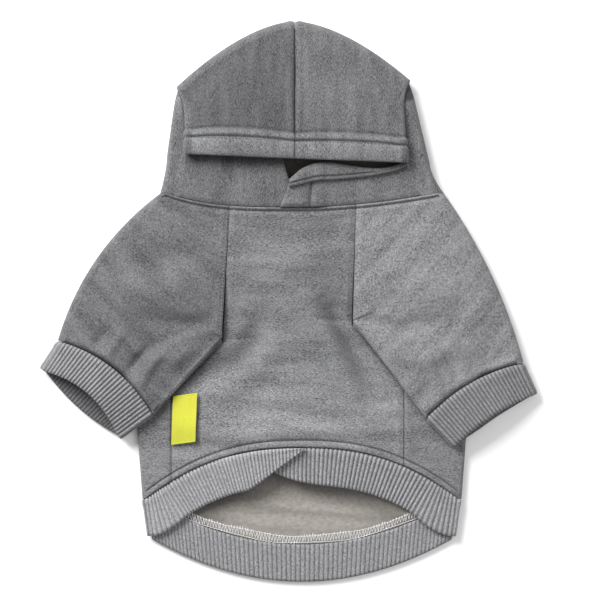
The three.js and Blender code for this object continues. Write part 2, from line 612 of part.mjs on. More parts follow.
function hoodHalf(side) {
  const { sign } = side;
  const corner = plan(HOOD_MIDDLE + side.corner * HOOD_CORNERS * sign, side.cornerUp * CORNER_HEIGHT);
  const mouth = plan(HOOD_MIDDLE + side.mouth * FACE_WIDTH * sign, side.browUp * BROW_HEIGHT);
  const brow = plan(HOOD_MIDDLE, BROW_HEIGHT);
  const peak = plan(HOOD_MIDDLE, HOOD_HEIGHT);
  const neckEdge = moved(side.neckEnd, plan(0, 1), SEAM_GAP / 2);
  const cheekSide = plan(lerp(corner.x, neckEdge.x, SIDE_WAIST), mouth.y);
  const radius = (CROWN_RISE - FLOOR) / 2;
  const topEdge = (across) => plan(
    lerp(peak.x, corner.x, across), lerp(peak.y, corner.y, across ** CROWN_CURVE));
  const topOut = (across) =>
    (across === 0 ? plan(0, 1) : sideways(topEdge, Math.min(across, 0.98), plan(0, 1)));
  const topStart = (across) => turnStart(topEdge(across), topOut(across), CROWN_RISE, FLOOR);
  // The level is 1 at the corner, 0 at the brow and -1 at the neck.
  const sideEdge = (level) => (level >= 0
    ? between(cheekSide, corner, level)
    : plan(lerp(cheekSide.x, neckEdge.x, (-level) ** 1.6), lerp(cheekSide.y, neckEdge.y, -level)));
  const sideWay = (level) => between(side.out, topOut(1), clamp(level, 0, 1) ** 2).normalize();
  const crownEdgeRise = (level) => lerp(BROW_RISE, CROWN_RISE, clamp(level, 0, 1));
  const stripRise = (level) => (level >= 0
    ? lerp(CHEEK_RISE, CROWN_RISE, level) : lerp(CHEEK_RISE, SHOULDER_RISE, -level));
  const sideReach = (level) => {
    const turn = (stripRise(level) - FLOOR) / 2;
    const pleated = sign * (cheekSide.x - mouth.x) + PLEAT;
    return Math.max(lerp(pleated, 0, clamp(level, 0, 1)), 2.2 * FLEECE + turn);
  };
  const hemWallAt = (row, step) =>
    (row < 2 ? lerp(HEM_WALL, FLEECE, Math.min(1, step / 4)) : FLEECE);
  const sideRow = (level, row) => {
    const way = sideWay(level);
    const amount = level <= 0 ? 0 : level ** 1.5;
    const reach = lerp(sideReach(level), radius, amount);
    const base = moved(sideEdge(level), way, -reach - FLEECE / 2);
    const top = crownEdgeRise(level);
    const mid = stripRise(level);
    const turn = (mid - FLOOR) / 2;
    return SIDE_SECTION.map((entry, step) => {
      const angle = Math.PI * (0.5 - step / SIDE_STEPS);
      const onCrown = entry.from === "crown";
      const pleatOut = onCrown ? entry.out * FLEECE : sideReach(level) + entry.out * turn;
      const pleatRise = onCrown ? lerp(mid, top, entry.rise) : lerp(FLOOR, mid, entry.rise);
      const out = lerp(pleatOut, radius * Math.cos(angle), amount);
      const rise = lerp(pleatRise, FLOOR + radius * (1 + Math.sin(angle)), amount);
      const facing = lerp(degToRad(entry.facing), angle, amount);
      const toward = new THREE.Vector3(
        way.x * Math.cos(facing), way.y * Math.cos(facing), Math.sin(facing));
      return knot(moved(base, way, out), rise, toward, hemWallAt(row, step));
    });
  };
  const flat = (k) => plan(k.middle.x, k.middle.y);
  const seam = (y) => plan(HOOD_MIDDLE + sign * SEAM_GAP / 2, y);
  const crownStart = (level) => flat(sideRow(level, 9)[0]);
  const backStart = (level) => flat(sideRow(level, 9)[SIDE_STEPS]);
  const seamAlong = (level) => seam(lerp(brow.y, topStart(0).y, level));
  const fromSeam = (curve) => (across) => {
    const point = curve(across);
    return across === 0 ? seam(point.y) : point;
  };
  const crownTop = fromSeam(topStart);
  const browEdge = (across) => between(seam(brow.y), crownStart(0), across);
  const crown = spread(browEdge, crownTop, seamAlong, crownStart);
  const back = spread((across) => between(seam(mouth.y), backStart(0), across), crownTop,
    (level) => seam(lerp(mouth.y, topStart(0).y, level)), backStart);
  const neckBack = (across) => {
    const x = lerp(seam(0).x, backStart(-1).x, across);
    return moved(backNeck(x), plan(0, 1), SEAM_GAP / 2);
  };
  const backLow = spread((across) => between(seam(mouth.y), backStart(0), across), neckBack,
    (down) => seam(lerp(mouth.y, neckBack(0).y, down)), (down) => backStart(-down));
  const levelOf = (row, across) => {
    const length = lerp(topStart(0).y - brow.y, corner.y - mouth.y, across);
    const hem = HEM_WIDTH / length;
    const past = row - BROW_LINES.length + 1;
    if (past <= 0) return hem * BROW_LINES[row];
    return lerp(hem * BROW_LINES.at(-1), 1, past / (CROWN_LINES - BROW_LINES.length + 1));
  };
  const rowsOf = Array.from({ length: CROWN_LINES + 1 }, (_, row) => row);
  const crownRows = rowsOf.map((row) => shares(CROWN_STEPS).map((across) => {
    const level = levelOf(row, across);
    if (across === 1) return sideRow(level, row)[0];
    const rise = lerp(BROW_RISE, CROWN_RISE, level) + PUFF * Math.sin(Math.PI * level) * (1 - across ** 2);
    return knot(crown(across, level), rise, UP, hemWallAt(row, 0));
  }));
  const turnRows = shares(SIDE_STEPS).slice(1, -1).map((turn, n) => shares(CROWN_STEPS).map((across) => {
    if (across === 1) return sideRow(1, 9)[n + 1];
    const k = turnKnot(topEdge(across), topOut(across), CROWN_RISE, FLOOR, turn);
    if (across === 0) k.middle.x = seam(0).x;
    return k;
  }));
  const backRows = rowsOf.slice().reverse().map((row) => shares(CROWN_STEPS).map((across) => {
    const level = levelOf(row, across);
    if (across === 1) return { ...sideRow(level, row)[SIDE_STEPS], wall: FLEECE };
    return knot(back(across, level), FLOOR, DOWN);
  }));
  const sideRows = rowsOf.map((row) => sideRow(levelOf(row, 1), row));
  // Below the brow: cheek, strip, turn and back layer.
  const stripFirst = 5;
  const cheekTop = side.cheekTop;
  const cheekEnd = side.cheekEnd;
  const cheekSideStart = (down) => flat(sideRow(-down, 9)[stripFirst]);
  const ends = cheekEnd.map(({ x, y }) => plan(x * HOOD_CORNERS, y * CHEEK_HEIGHT));
  const cheekUp = (across) => {
    const x = lerp(ends[0].x, cheekSideStart(0).x, across);
    return plan(x, lerp(CHEEK_HEIGHT * cheekTop(across), cheekSideStart(0).y, across ** 8));
  };
  const cheekDown = (across) => {
    const x = lerp(ends[1].x, cheekSideStart(1).x, across);
    return moved(frontNeck(x), plan(0, 1), SEAM_GAP / 2);
  };
  const cheekEndLine = (down) => between(cheekUp(0), cheekDown(0), down);
  const cheek = spread(cheekUp, cheekDown, cheekEndLine, cheekSideStart);
  const cheekRise = (point, down) => {
    const lap = side.lap * (FLEECE + LAYER_GAP)
      * (1 - smoothstep(sign * point.x, LAP_REACH, LAP_REACH * 3.5));
    return lerp(CHEEK_RISE, neckRise(point.x), down) + lap;
  };
  const cheekRows = shares(CHEEK_LINES).map((down) => [
    ...shares(CROWN_STEPS).slice(0, -1).map((across) => {
      const point = cheek(across, down);
      return knot(point, cheekRise(point, down));
    }),
    ...sideRow(-down, 9).slice(stripFirst),
    ...shares(CROWN_STEPS).reverse().slice(1).map((across) => knot(backLow(across, down), FLOOR, DOWN)),
  ]);
  const patches = [
    { rows: [...crownRows, ...turnRows, ...backRows] },
    { rows: sideRows },
    { rows: cheekRows },
  ];
  if (side.flap) {
    // The hem of this cheek is turned down over its outside.
    const flapRows = shares(FOLD_STEPS).map((turn) => shares(CROWN_STEPS).slice(0, -1).map((across) => {
      const point = cheekUp(across);
      const under = cheekRise(point, 0);
      const top = under + FLEECE + LAYER_GAP;
      const edge = moved(point, plan(0, 1), (top - under) / 2 + FLEECE / 2);
      return turnKnot(edge, plan(0, 1), top, under, 1 - turn, FLEECE, -1);
    }));
    const depth = (across) => HEM_WIDTH * side.flap(across);
    const last = [0.5, 1].map((share) => shares(CROWN_STEPS).slice(0, -1).map((across, j) => {
      const from = flapRows[FOLD_STEPS][j];
      return knot(moved(flat(from), plan(0, -1), depth(across) * share), from.middle.z, DOWN);
    }));
    patches.push({ rows: [...flapRows, ...last] });
  }
  return clothWall(patches);
}

function sideLabel() {
  const side = PLACES.left;
  const wall = LABEL_WALL;
  const seamX = bellySeam(side, 1).x;
  const top = -ARMPIT_DROP - LABEL_DROP;
  const rows = shares(4).map((down) => shares(3).map((across) => {
    const y = top - LABEL_LENGTH * down - LABEL_SLANT * (1 - across);
    const point = plan(seamX + SEAM_GAP + LABEL_WIDTH * across, y);
    return knot(point, bodyRise(point.x, point.y) + FLEECE / 2 + LAYER_GAP / 2 + wall / 2, UP, wall);
  }));
  return clothWall([{ rows }]);
}

const PARTS = [
  ["belly_panel", bellyPanel(), 0x85868c],
  ["back_panel", backPanel(), 0x85868c],
  ["sleeve_left", sleeve(PLACES.left), 0x828385],
  ["sleeve_right", sleeve(PLACES.right), 0x919194],
  ["cuff_left", cuff(PLACES.left), 0x919195],
  ["cuff_right", cuff(PLACES.right), 0x919195],
  ["waistband", waistband(), 0x8a8a8e],
  ["hood_left", hoodHalf(PLACES.left), 0x7d7c7e],
  ["hood_right", hoodHalf(PLACES.right), 0x7d7c7e],
  ["side_label", sideLabel(), 0xdfdd54],
];

const hoodie = new THREE.Group();
hoodie.name = "dog_hoodie";
for (const [name, geometry, color] of PARTS) {
  const mesh = new THREE.Mesh(
    geometry, new THREE.MeshStandardMaterial({ color, roughness: 0.95, metalness: 0 }));
  mesh.name = name;
  hoodie.add(mesh);
}
const box = new THREE.Box3().setFromObject(hoodie);
const centre = box.getCenter(new THREE.Vector3());
for (const mesh of hoodie.children) mesh.geometry.translate(-centre.x, -centre.y, -box.min.z);
export default hoodie;
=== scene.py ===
"""A small dog's grey heathered fleece hoodie, lying on its back on a pale floor, seen from straight above."""

import bpy
import numpy as np
from mathutils.bvhtree import BVHTree
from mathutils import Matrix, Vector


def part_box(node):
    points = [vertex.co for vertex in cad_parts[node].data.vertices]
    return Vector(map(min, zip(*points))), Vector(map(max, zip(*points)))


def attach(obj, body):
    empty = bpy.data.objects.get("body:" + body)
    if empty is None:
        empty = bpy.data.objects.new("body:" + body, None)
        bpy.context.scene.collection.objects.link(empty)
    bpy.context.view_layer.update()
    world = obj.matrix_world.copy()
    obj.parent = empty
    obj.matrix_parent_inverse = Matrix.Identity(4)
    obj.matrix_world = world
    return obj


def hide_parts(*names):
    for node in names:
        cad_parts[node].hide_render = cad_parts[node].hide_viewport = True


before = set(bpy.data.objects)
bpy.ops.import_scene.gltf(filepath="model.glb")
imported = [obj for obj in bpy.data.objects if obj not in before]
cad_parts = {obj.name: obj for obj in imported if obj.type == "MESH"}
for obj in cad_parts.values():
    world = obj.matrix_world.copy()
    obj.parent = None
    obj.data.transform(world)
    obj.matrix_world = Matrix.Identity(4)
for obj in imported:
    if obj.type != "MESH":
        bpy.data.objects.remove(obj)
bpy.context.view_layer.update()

bl_info = {
    "name": "Dog Hoodie",
    "version": (1, 0, 0),
    "blender": (4, 5, 0),
    "location": "3D View > Sidebar > Hoodie",
    "description": "Builds the cloth of a dog hoodie that lies flat, and the studio around it",
    "category": "Add Mesh",
}

# Sizes in millimetres, as in the solids.
FLEECE = 2.0
RIB_WALL = 2.2
HEM_WALL = 3.6
SEAM_GAP = 0.12
LAYER_GAP = 0.6
PUFF = 3.0
CHEST_WIDTH = 231.0
HEM_SPAN = 223.0
BELLY_LENGTH = 167.0
HEM_ARCH = 36.0
BACK_DROP = 32.0
HEM_CURVE = 2.35
YOKE_SPREAD = 1.1
YOKE_WIDTH = 88.0
BELLY_WIDTH = 162.0
ARMHOLE_DROP = 58.0
WAISTBAND = 26.0
BAND_OVERLAP = 44.0
BAND_TIP = 2.2
BAND_NARROWING = 3.6
BAND_SETTLING = 0.85
NECK_WIDTH = 198.0
NECK_DIP = 10.0
NECK_RISE_BACK = 8.0
ARMPIT_DROP = 92.0
UNDERARM = 76.0
CUFF_WIDTH = 82.0
CUFF_LENGTH = 28.0
HOOD_HEIGHT = 130.0
HOOD_CORNERS = 163.0
CORNER_HEIGHT = 87.0
FACE_WIDTH = 152.0
BROW_HEIGHT = 33.5
HEM_WIDTH = 15.0
CHEEK_HEIGHT = 27.0
CROWN_CURVE = 1.68
PLEAT = 2.4
SIDE_WAIST = 0.58
NECK_RISE = 9.5
BELLY_RISE = 12.0
HEM_RISE = 10.5
RAGLAN_RISE = 8.8
ARMPIT_RISE = 3.6
SIDE_RISE = 4.6
SHOULDER_RISE = 8.4
CHEEK_RISE = 9.5
BROW_RISE = 16.5
CROWN_RISE = 11.0
LABEL_DROP = 37.0
LABEL_LENGTH = 34.0
LABEL_WIDTH = 17.0
LABEL_WALL = 0.7
LABEL_SLANT = 2.4
LABEL_OFFSET = 1.2
LABEL_LEAN = 1.2
LABEL_LIFT = 0.9
LABEL_CURL = 1.2
BACK_LENGTH = 262.0
BELLY_FLARE = 10.0
SLEEVE_FLAT = (210.0, 215.0)
HOOD_FLAT = (240.0, 200.0)
CUFF_GIRTH = 2.15 * CUFF_WIDTH
CUFF_GAP = 0.5
BAND_FLOOR = 1.35
BAND_GAP = 0.3
FOLD_GAP = 0.2
FROM_NECK = 130.0
FROM_CUFF = 150.0
LAP_REACH = 8.0
HOOD_MIDDLE = -0.025 * NECK_WIDTH
FLOOR = FLEECE / 2
FIRST_LEAN = 0.08
# The most painted shade that a knot may carry.
DARKEST = 1.25

# How each side lies: shares of the sizes above, with the tilts in degrees off the way to the hem.
# In each side's table, pleat_shade sets how wide the painted shade beside the crown's edge runs, and the
# wedge value how dark the painted shadow below the corner is.
LAY = {
    "left": dict(
        sign=-1, yoke=0.573, pit=0.635, drop=1.0, neck_power=3.5, belly=0.562, seam_drop=0.24,
        underarm=0.92, underarm_tilt=42, cuff=1.038, cuff_tilt=52.7, shoulder_bulge=0.083, cuff_sag=0.093,
        outer_edge=0.81, outer_tilt=33.2, inner_edge=1.03, inner_tilt=53.7, near_sag=0.11, far_sag=-0.05,
        lift=4.0, corner=0.507, corner_up=0.966, mouth=0.493, brow_up=1.09, lap=0,
        cheek_end=((-0.083, 1.63), (0.01, 0.0)), cheek_bow=-4.0, band_taper=46, taper_power=1.35,
        unfolding=9, pleat_shade=2.0, wedge=0.0, crown_tone=0.42,
    ),
    "right": dict(
        sign=1, yoke=0.427, pit=0.402, drop=0.862, neck_power=1.8, belly=0.438, seam_drop=0.28,
        underarm=1.1, underarm_tilt=36.9, cuff=0.963, cuff_tilt=60.8, shoulder_bulge=0.045, cuff_sag=0.066,
        outer_edge=0.84, outer_tilt=24.4, inner_edge=1.01, inner_tilt=43.3, near_sag=0.045, far_sag=0.01,
        lift=2.5, corner=0.493, corner_up=1.02, mouth=0.507, brow_up=0.92, lap=1,
        cheek_end=((-0.055, 0.64), (-0.093, 0.0)), cheek_bow=0.0, band_taper=75, taper_power=3.0,
        unfolding=12, pleat_shade=1.6, wedge=1.3, crown_tone=0.08,
    ),
}

# Places in plan are complex numbers, x + iy, so that whole grids of them are turned and moved at once.


def between(a, b, share):
    """A share of the way from a to b."""
    return a + (b - a) * share


def smooth(x, low, high):
    """A cubic step from 0 at low to 1 at high, level at both ends."""
    t = np.clip((np.asarray(x, float) - low) / (high - low), 0, 1)
    return t * t * (3 - 2 * t)


def hump(share):
    """A parabola, 0 at both ends and 1 in the middle."""
    return 4 * share * (1 - share)


def tilted(degrees, sign):
    """The way that lies the given degrees off the way to the hem, towards the side of the sign."""
    return sign * np.sin(np.radians(degrees)) - 1j * np.cos(np.radians(degrees))


def unit(way):
    """A way in plan, one long."""
    return way / np.abs(way)


def dot(a, b):
    """The scalar product of two ways in plan."""
    return (a * np.conj(b)).real


def sideways(curve, share, hint):
    """The way at right angles to a curve, on the side of the hint."""
    share = np.asarray(share, float)
    way = unit(1j * (curve(np.minimum(1, share + 0.01)) - curve(np.maximum(0, share - 0.01))))
    return np.where(dot(way, hint) < 0, -way, way)


def spread(first, last, left, right):
    """A flat stretch of cloth between four curves: the sum of the two ruled surfaces less the one through the
    corners."""

    def place(across, along):
        """Both pairs of edges blended, less the corners, which both pairs count."""
        corners = between(
            between(first(0.0), first(1.0), across), between(last(0.0), last(1.0), across), along)
        return (between(first(across), last(across), along)
                + between(left(along), right(along), across) - corners)

    return place


def grid(across, along):
    """Two arrays that hold, at each row and column, the share across and the share along."""
    return np.meshgrid(np.asarray(across, float), np.asarray(along, float))


def shares(steps):
    """Even shares from 0 to 1, one more than the steps."""
    return np.linspace(0, 1, steps + 1)


def graded(length, step=1.5, fine=0.45, band=7.2):
    """Shares of a length: steps of the fine size in a band at each end, and of the plain size between."""
    end = np.arange(0, band, fine)
    middle = np.linspace(band, length - band, int((length - 2 * band) / step) + 1)
    return np.concatenate([end, middle, length - end[::-1]]) / length


def curve_at(x, table):
    """A smooth curve through the rows of a table of x and y, by cubic pieces."""
    xs, ys = np.array(table, float).T
    slopes = np.gradient(ys, xs)
    n = np.clip(np.searchsorted(xs, x) - 1, 0, len(xs) - 2)
    wide = xs[n + 1] - xs[n]
    t = np.clip((x - xs[n]) / wide, 0, 1)
    return ((1 + 2 * t) * (1 - t) ** 2 * ys[n] + t * (1 - t) ** 2 * wide * slopes[n]
            + t * t * (3 - 2 * t) * ys[n + 1] + t * t * (t - 1) * wide * slopes[n + 1])


class Cloth:
    """Knots of cloth in rows and columns: the middle of the wall, the way its outside faces, its thickness,
    how far its outside stands proud, and how dark it is painted, mostly painted shade in its grooves and
    hollows."""

    def __init__(self, place, rise, facing=(0, 0, 1), wall=FLEECE, relief=0.0, shade=0.0):
        place = np.asarray(place)
        self.middle = np.stack([place.real, place.imag, np.broadcast_to(rise, place.shape)], -1).astype(float)
        self.facing = np.broadcast_to(np.asarray(facing, float), self.middle.shape).copy()
        self.wall = np.broadcast_to(wall, place.shape).astype(float).copy()
        self.relief = np.broadcast_to(relief, place.shape).astype(float).copy()
        self.shade = np.broadcast_to(shade, place.shape).astype(float).copy()

    def cut(self, rows=slice(None), columns=slice(None)):
        """The same cloth with only some of its rows or columns."""
        new = object.__new__(Cloth)
        for key, value in self.__dict__.items():
            setattr(new, key, value[rows, columns])
        return new

    @staticmethod
    def beside(*parts, axis=1):
        """Cloths joined side by side, or one above the other along axis 0."""
        new = object.__new__(Cloth)
        for key in ("middle", "facing", "wall", "relief", "shade"):
            setattr(new, key, np.concatenate([getattr(p, key) for p in parts], axis))
        return new


def turned(edge, out, top, under, turn, wall=FLEECE, outside=1):
    """The turn between two layers, half a circle. Turn 0 is on the top layer and turn 1 on the one beneath.
    The outside is 1 where the cloth's outside is on the outside of the turn, and -1 where it is within."""
    radius = (top - under) / 2
    angle = np.pi * (0.5 - turn)
    centre = edge - out * (radius + wall / 2)
    place = centre + out * radius * np.cos(angle)
    cloth = Cloth(place, (top + under) / 2 + radius * np.sin(angle), wall=wall)
    cloth.facing = outside * np.stack([out.real * np.cos(angle), out.imag * np.cos(angle),
                                       np.broadcast_to(np.sin(angle), place.shape)], -1)
    return cloth


def turn_start(edge, out, top, under, wall=FLEECE):
    """Where the flat layers end and the turn starts, for a turn whose outermost line is the edge."""
    return edge - out * ((top - under) / 2 + wall / 2)


class Side:
    """Places on one side of the body, in plan."""

    def __init__(self, name):
        self.name = name
        self.__dict__.update(LAY[name])
        sign = self.sign
        self.armpit = sign * self.pit * YOKE_WIDTH - 1j * self.drop * ARMPIT_DROP
        self.full_y = -ARMPIT_DROP - ARMHOLE_DROP
        self.side_y = -BELLY_LENGTH - HEM_ARCH
        self.reach = CHEST_WIDTH / 2 - sign * self.armpit.real
        self.neck_end = sign * NECK_WIDTH / 2 + 1j * NECK_DIP
        self.cuff_inner = self.armpit + tilted(self.underarm_tilt, sign) * self.underarm * UNDERARM
        self.cuff_outer = self.cuff_inner + tilted(180 - self.cuff_tilt, sign) * self.cuff * CUFF_WIDTH
        self.rim_inner = self.cuff_inner + tilted(self.inner_tilt, sign) * self.inner_edge * CUFF_LENGTH
        self.rim_outer = self.cuff_outer + tilted(self.outer_tilt, sign) * self.outer_edge * CUFF_LENGTH

    def side_fold(self, share):
        """A quarter ellipse from the armpit, then straight to the hem."""
        share = np.asarray(share, float)
        angle = np.minimum(share, 0.5) * np.pi
        x = self.sign * self.armpit.real + self.reach * np.sin(angle)
        y = self.full_y + (self.armpit.imag - self.full_y) * np.cos(angle)
        straight = between(CHEST_WIDTH / 2 + 1j * self.full_y, HEM_SPAN / 2 + 1j * self.side_y, 2 * share - 1)
        x = np.where(share > 0.5, straight.real, x)
        y = np.where(share > 0.5, straight.imag, y)
        return self.sign * x + 1j * y

    def half_width(self, y):
        """Distance from the body's middle to the side fold at a place down the body."""
        rise = np.clip((y - self.full_y) / (self.armpit.imag - self.full_y), 0, 1)
        upper = self.sign * self.armpit.real + self.reach * np.sqrt(1 - rise ** 2)
        low = np.clip((y - self.full_y) / (self.side_y - self.full_y), 0, 1)
        lower = between(CHEST_WIDTH / 2, HEM_SPAN / 2, low)
        return np.where(y > self.armpit.imag, self.sign * self.armpit.real,
                        np.where(y < self.full_y, lower, upper))

    def side_out(self, share):
        """The way out of the body at right angles to the side fold."""
        return sideways(self.side_fold, np.maximum(share, FIRST_LEAN), self.sign + 1j)

    def flap_start(self, share):
        """Where the body's layers end and the side turn starts."""
        edge = self.side_fold(share)
        return turn_start(edge, self.side_out(share), body_rise(edge), FLOOR)

    def belly_seam(self, share):
        """Two straight lines: from the armpit to a knee, and from there to the hem."""
        share = np.asarray(share, float)
        x = self.sign * self.belly * BELLY_WIDTH
        knee = x + 1j * (self.armpit.imag - self.seam_drop * BELLY_LENGTH)
        return np.where(share < 0.5, between(self.flap_start(0.0), knee, 2 * share),
                        between(knee, front_hem(x), 2 * share - 1))

    def beside_seam(self, share, distance):
        """The belly seam moved sideways, outwards where the distance is above 0."""
        way = sideways(self.belly_seam, share, self.sign + 0j)
        return self.belly_seam(share) + way * distance


def per_side(x, value):
    """The left side's value where x is negative and the right side's elsewhere."""
    return np.where(np.asarray(x) < 0, value(SIDES["left"]), value(SIDES["right"]))


SHOULDER_TURN = (SHOULDER_RISE - FLOOR) / 2 + FLOOR
SIDE_TURN = (SIDE_RISE - FLOOR) / 2 + FLOOR


def neck_share(x):
    """Share of the way from the middle of the neck to where the shoulder turns start."""
    return np.clip(np.abs(x) / (NECK_WIDTH / 2 - SHOULDER_TURN), 0, 1)


def front_neck(x):
    """The front neck seam: its rise is a power of the share, which differs from side to side."""
    return x + 1j * NECK_DIP * neck_share(x) ** per_side(x, lambda side: side.neck_power)


def back_neck(x):
    """The back neck seam: a parabola, highest in the middle."""
    return x + 1j * (NECK_DIP + NECK_RISE_BACK * (1 - neck_share(x) ** 2))


def hem_share(x):
    """Share of the way from the middle of the hem to where the side turns start."""
    return np.clip(np.abs(x) / (HEM_SPAN / 2 - SIDE_TURN), 0, 1)


def front_hem(x):
    """The front hem seam: an arch whose drop is a power of the share."""
    return x - 1j * (BELLY_LENGTH + HEM_ARCH * hem_share(x) ** HEM_CURVE)


def back_hem(x):
    """The back hem seam: a parabola, lowest in the middle."""
    return x - 1j * (BELLY_LENGTH + HEM_ARCH + BACK_DROP * (1 - hem_share(x) ** 2))


def body_rise(place):
    """Rise of the body's upper layer: a cosine hump between its edges, low at the armpits."""
    x, y = np.asarray(place).real, np.asarray(place).imag

    def on(side):
        down = np.clip(y / side.armpit.imag, 0, 1)
        past = np.clip((side.armpit.imag - y) / (side.armpit.imag - side.side_y), 0, 1)
        half = side.half_width(y)
        half = np.where(down < 1, between(side.yoke * YOKE_WIDTH, half, down), half)
        edge = np.where(down < 1, between(RAGLAN_RISE, ARMPIT_RISE, smooth(down, 0.4, 1)),
                        between(ARMPIT_RISE, SIDE_RISE, smooth(past, 0, 0.6)))
        middle = between(between(NECK_RISE, BELLY_RISE, smooth(down, 0, 0.8)), HEM_RISE, smooth(past, 0.3, 1))
        return between(edge, middle, (1 + np.cos(np.pi * np.clip(np.abs(x) / half, 0, 1))) / 2)

    return per_side(x, on)


def rest_rise(place, wall=FLEECE):
    """Rise of a sleeve's lower layer, which lies on the body where the body is under it, else on the
    floor."""
    x, y = np.asarray(place).real, np.asarray(place).imag

    def on(side):
        beyond = np.hypot(np.maximum(0, side.sign * (x - side.armpit.real)) / side.reach,
                          np.maximum(0, y - side.full_y) / (side.armpit.imag - side.full_y))
        away = smooth(np.abs(place - side.armpit), 0, CUFF_LENGTH)
        on_body = body_rise(place) + FLOOR + LAYER_GAP * (1 + 1.5 * away) + wall / 2
        return between(on_body, wall / 2, smooth(beyond, 1.08, 1.3))

    return per_side(x, on)


def neck_rise(x):
    """Rise of the upper layer along the neck seam: the body's, then a straight slope to the shoulder."""
    yoke = per_side(x, lambda side: side.yoke * YOKE_WIDTH)
    outer = between(RAGLAN_RISE, SHOULDER_RISE, np.clip((np.abs(x) - yoke) / (NECK_WIDTH / 2 - yoke), 0, 1))
    return np.where(np.abs(x) < yoke, body_rise(x + 0j), outer)


SIDES = {"left": None, "right": None}
for side_name in SIDES:
    SIDES[side_name] = Side(side_name)

# The solids' frame, found from the back panel, whose folds and hem are where these sizes put them.
BACK_LOW, BACK_HIGH = (np.array(corner) * 1000 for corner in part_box("back_panel"))
SHIFT = np.array([(BACK_LOW[0] + BACK_HIGH[0]) / 2,
                  BACK_LOW[1] + BELLY_LENGTH + HEM_ARCH + BACK_DROP - 0.2, 0.0])


# Relief


def bell(distance, centre, width):
    """One at the centre, falling as the bell curve of the distance over the width."""
    return np.exp(-(((distance - centre) / width) ** 2))


def roll(distance, centre, half):
    """Half an ellipse, one high, across a strip of cloth."""
    return np.sqrt(np.clip(1 - ((distance - centre) / half) ** 2, 0, 1))


def seam_relief(distance, groove=0.55, puff=0.35, reach=4.0):
    """The cloth dips to a seam and swells beside it."""
    return puff * bell(distance, reach, 2.2) - groove * bell(distance, 0, 1.1)


# Rolls, ridges and grooves across a strip of cloth. Each row is a form, its height, its centre and its half
# width. The neck has a narrow ridge and a stitched groove, the hem seam a roll between two grooves, and the
# turned hem over the face a broad roll, a stitched groove, a narrow ridge and a step down.
NECK_PROFILE = ((bell, 1.0, 0.9, 0.8), (bell, -0.7, 2.5, 0.7), (bell, 0.5, 5.5, 2.2))
HEM_PROFILE = ((roll, 1.1, 2.4, 2.3), (bell, -0.8, 5.2, 0.7), (bell, -0.4, 0, 0.5))
BROW_PROFILE = ((roll, 1.7, 6, 6.1), (roll, 1.4, 14.5, 2.6), (bell, -1.0, 12, 0.8), (bell, -0.5, 17.8, 1.4))
CUFF_PROFILE = ((bell, 1.0, 4, 3.2), (bell, -1.1, 0, 1.4))

# Painted shade in the same strips' grooves and seams, in rows of the same kind.
NECK_SHADE = ((bell, 0.45, 2.5, 0.8),)
HEM_SHADE = ((bell, 0.6, 5.2, 0.8), (bell, 1.0, 0, 0.8))
BROW_SHADE = ((bell, 0.6, 12, 0.9), (bell, 0.35, 17.8, 1.4))
SEAM_SHADE = ((bell, 0.25, 0, 0.7),)
CUFF_SHADE = ((bell, 1.0, 0, 1.2),)

# Where the stitches of each strip lie.
NECK_STITCH = 2.5
HEM_STITCH = 5.2
BROW_STITCH = 12.0
SEAM_STITCH = 1.6


def across_strip(distance, rows):
    """The sum of a profile's forms at a distance from the strip's edge."""
    return sum(height * form(distance, centre, half) for form, height, centre, half in rows)


def ripple(place, seed, length=38.0, height=0.35):
    """Soft unevenness: a sum of a few long sine waves in seeded directions."""
    rng = np.random.default_rng(seed)
    total = 0.0
    count = 7
    for angle, scale, phase in rng.uniform((0, 0.6, 0), (np.pi, 1.7, 2 * np.pi), (count, 3)):
        wave = dot(place, np.exp(1j * angle)) / (length * scale)
        total = total + np.sin(2 * np.pi * wave + phase) / count * scale
    return height * 2.2 * total


def along_fold(place, fold):
    """A fold along a line of points: its height falls off across the line as a bell, and fades at both
    ends."""
    points, width, height = np.array(fold[0]), fold[1], fold[2]
    best = np.full(np.shape(place), 1e9)
    where = np.zeros(np.shape(place))
    steps = len(points) - 1
    for n, (a, b) in enumerate(zip(points[:-1], points[1:])):
        t = np.clip(dot(place - a, b - a) / np.abs(b - a) ** 2, 0, 1)
        gap = np.abs(place - between(a, b, t))
        where = np.where(gap < best, (n + t) / steps, where)
        best = np.minimum(best, gap)
    return height * np.exp(-((best / width) ** 2)) * np.sqrt(hump(np.clip(where, 0.02, 0.98)))


def folds_at(place, folds):
    """The sum of a table of folds."""
    return sum(along_fold(place, fold) for fold in folds)


# Soft folds of the belly: the line that each follows, its half width and its height.
BELLY_FOLDS = [
    ((-66 - 113j, -48 - 108j, -36 - 94j, -28 - 74j), 8.0, -4.2),
    ((-58 - 126j, -36 - 118j, -22 - 100j, -14 - 76j), 9.0, 2.6),
    ((6 - 66j, 20 - 92j, 29 - 114j, 40 - 136j), 5.5, 2.8),
    ((17 - 64j, 32 - 90j, 42 - 112j, 54 - 134j), 5.5, -3.0),
    ((-44 - 16j, -10 - 22j, 30 - 18j), 9.0, -1.8),
    ((-46 - 34j, -12 - 40j, 30 - 34j), 9.0, 1.6),
    ((-84 - 152j, -30 - 160j, 40 - 152j), 8.0, 2.0),
    ((-70 - 138j, -20 - 142j, 36 - 150j), 7.0, -2.0),
    ((72 - 150j, 84 - 168j, 92 - 186j), 7.0, 1.5),
]


# Painted shade on the body's outside: painted shadows beside the sleeves' edges and painted shade in the
# hollows of the drag folds.
BODY_PAINTED_SHADE = [
    ((-64 - 113j, -48 - 106j, -38 - 94j, -30 - 74j), 6.5, 0.55),
    ((-56 - 94j, -75 - 115j, -96 - 138j, -110 - 152j), 6.5, 0.75),
    ((34 - 76j, 62 - 108j, 92 - 142j, 104 - 158j), 4.5, 0.6),
    ((14 - 66j, 30 - 94j, 42 - 116j, 54 - 134j), 5.0, 0.4),
]


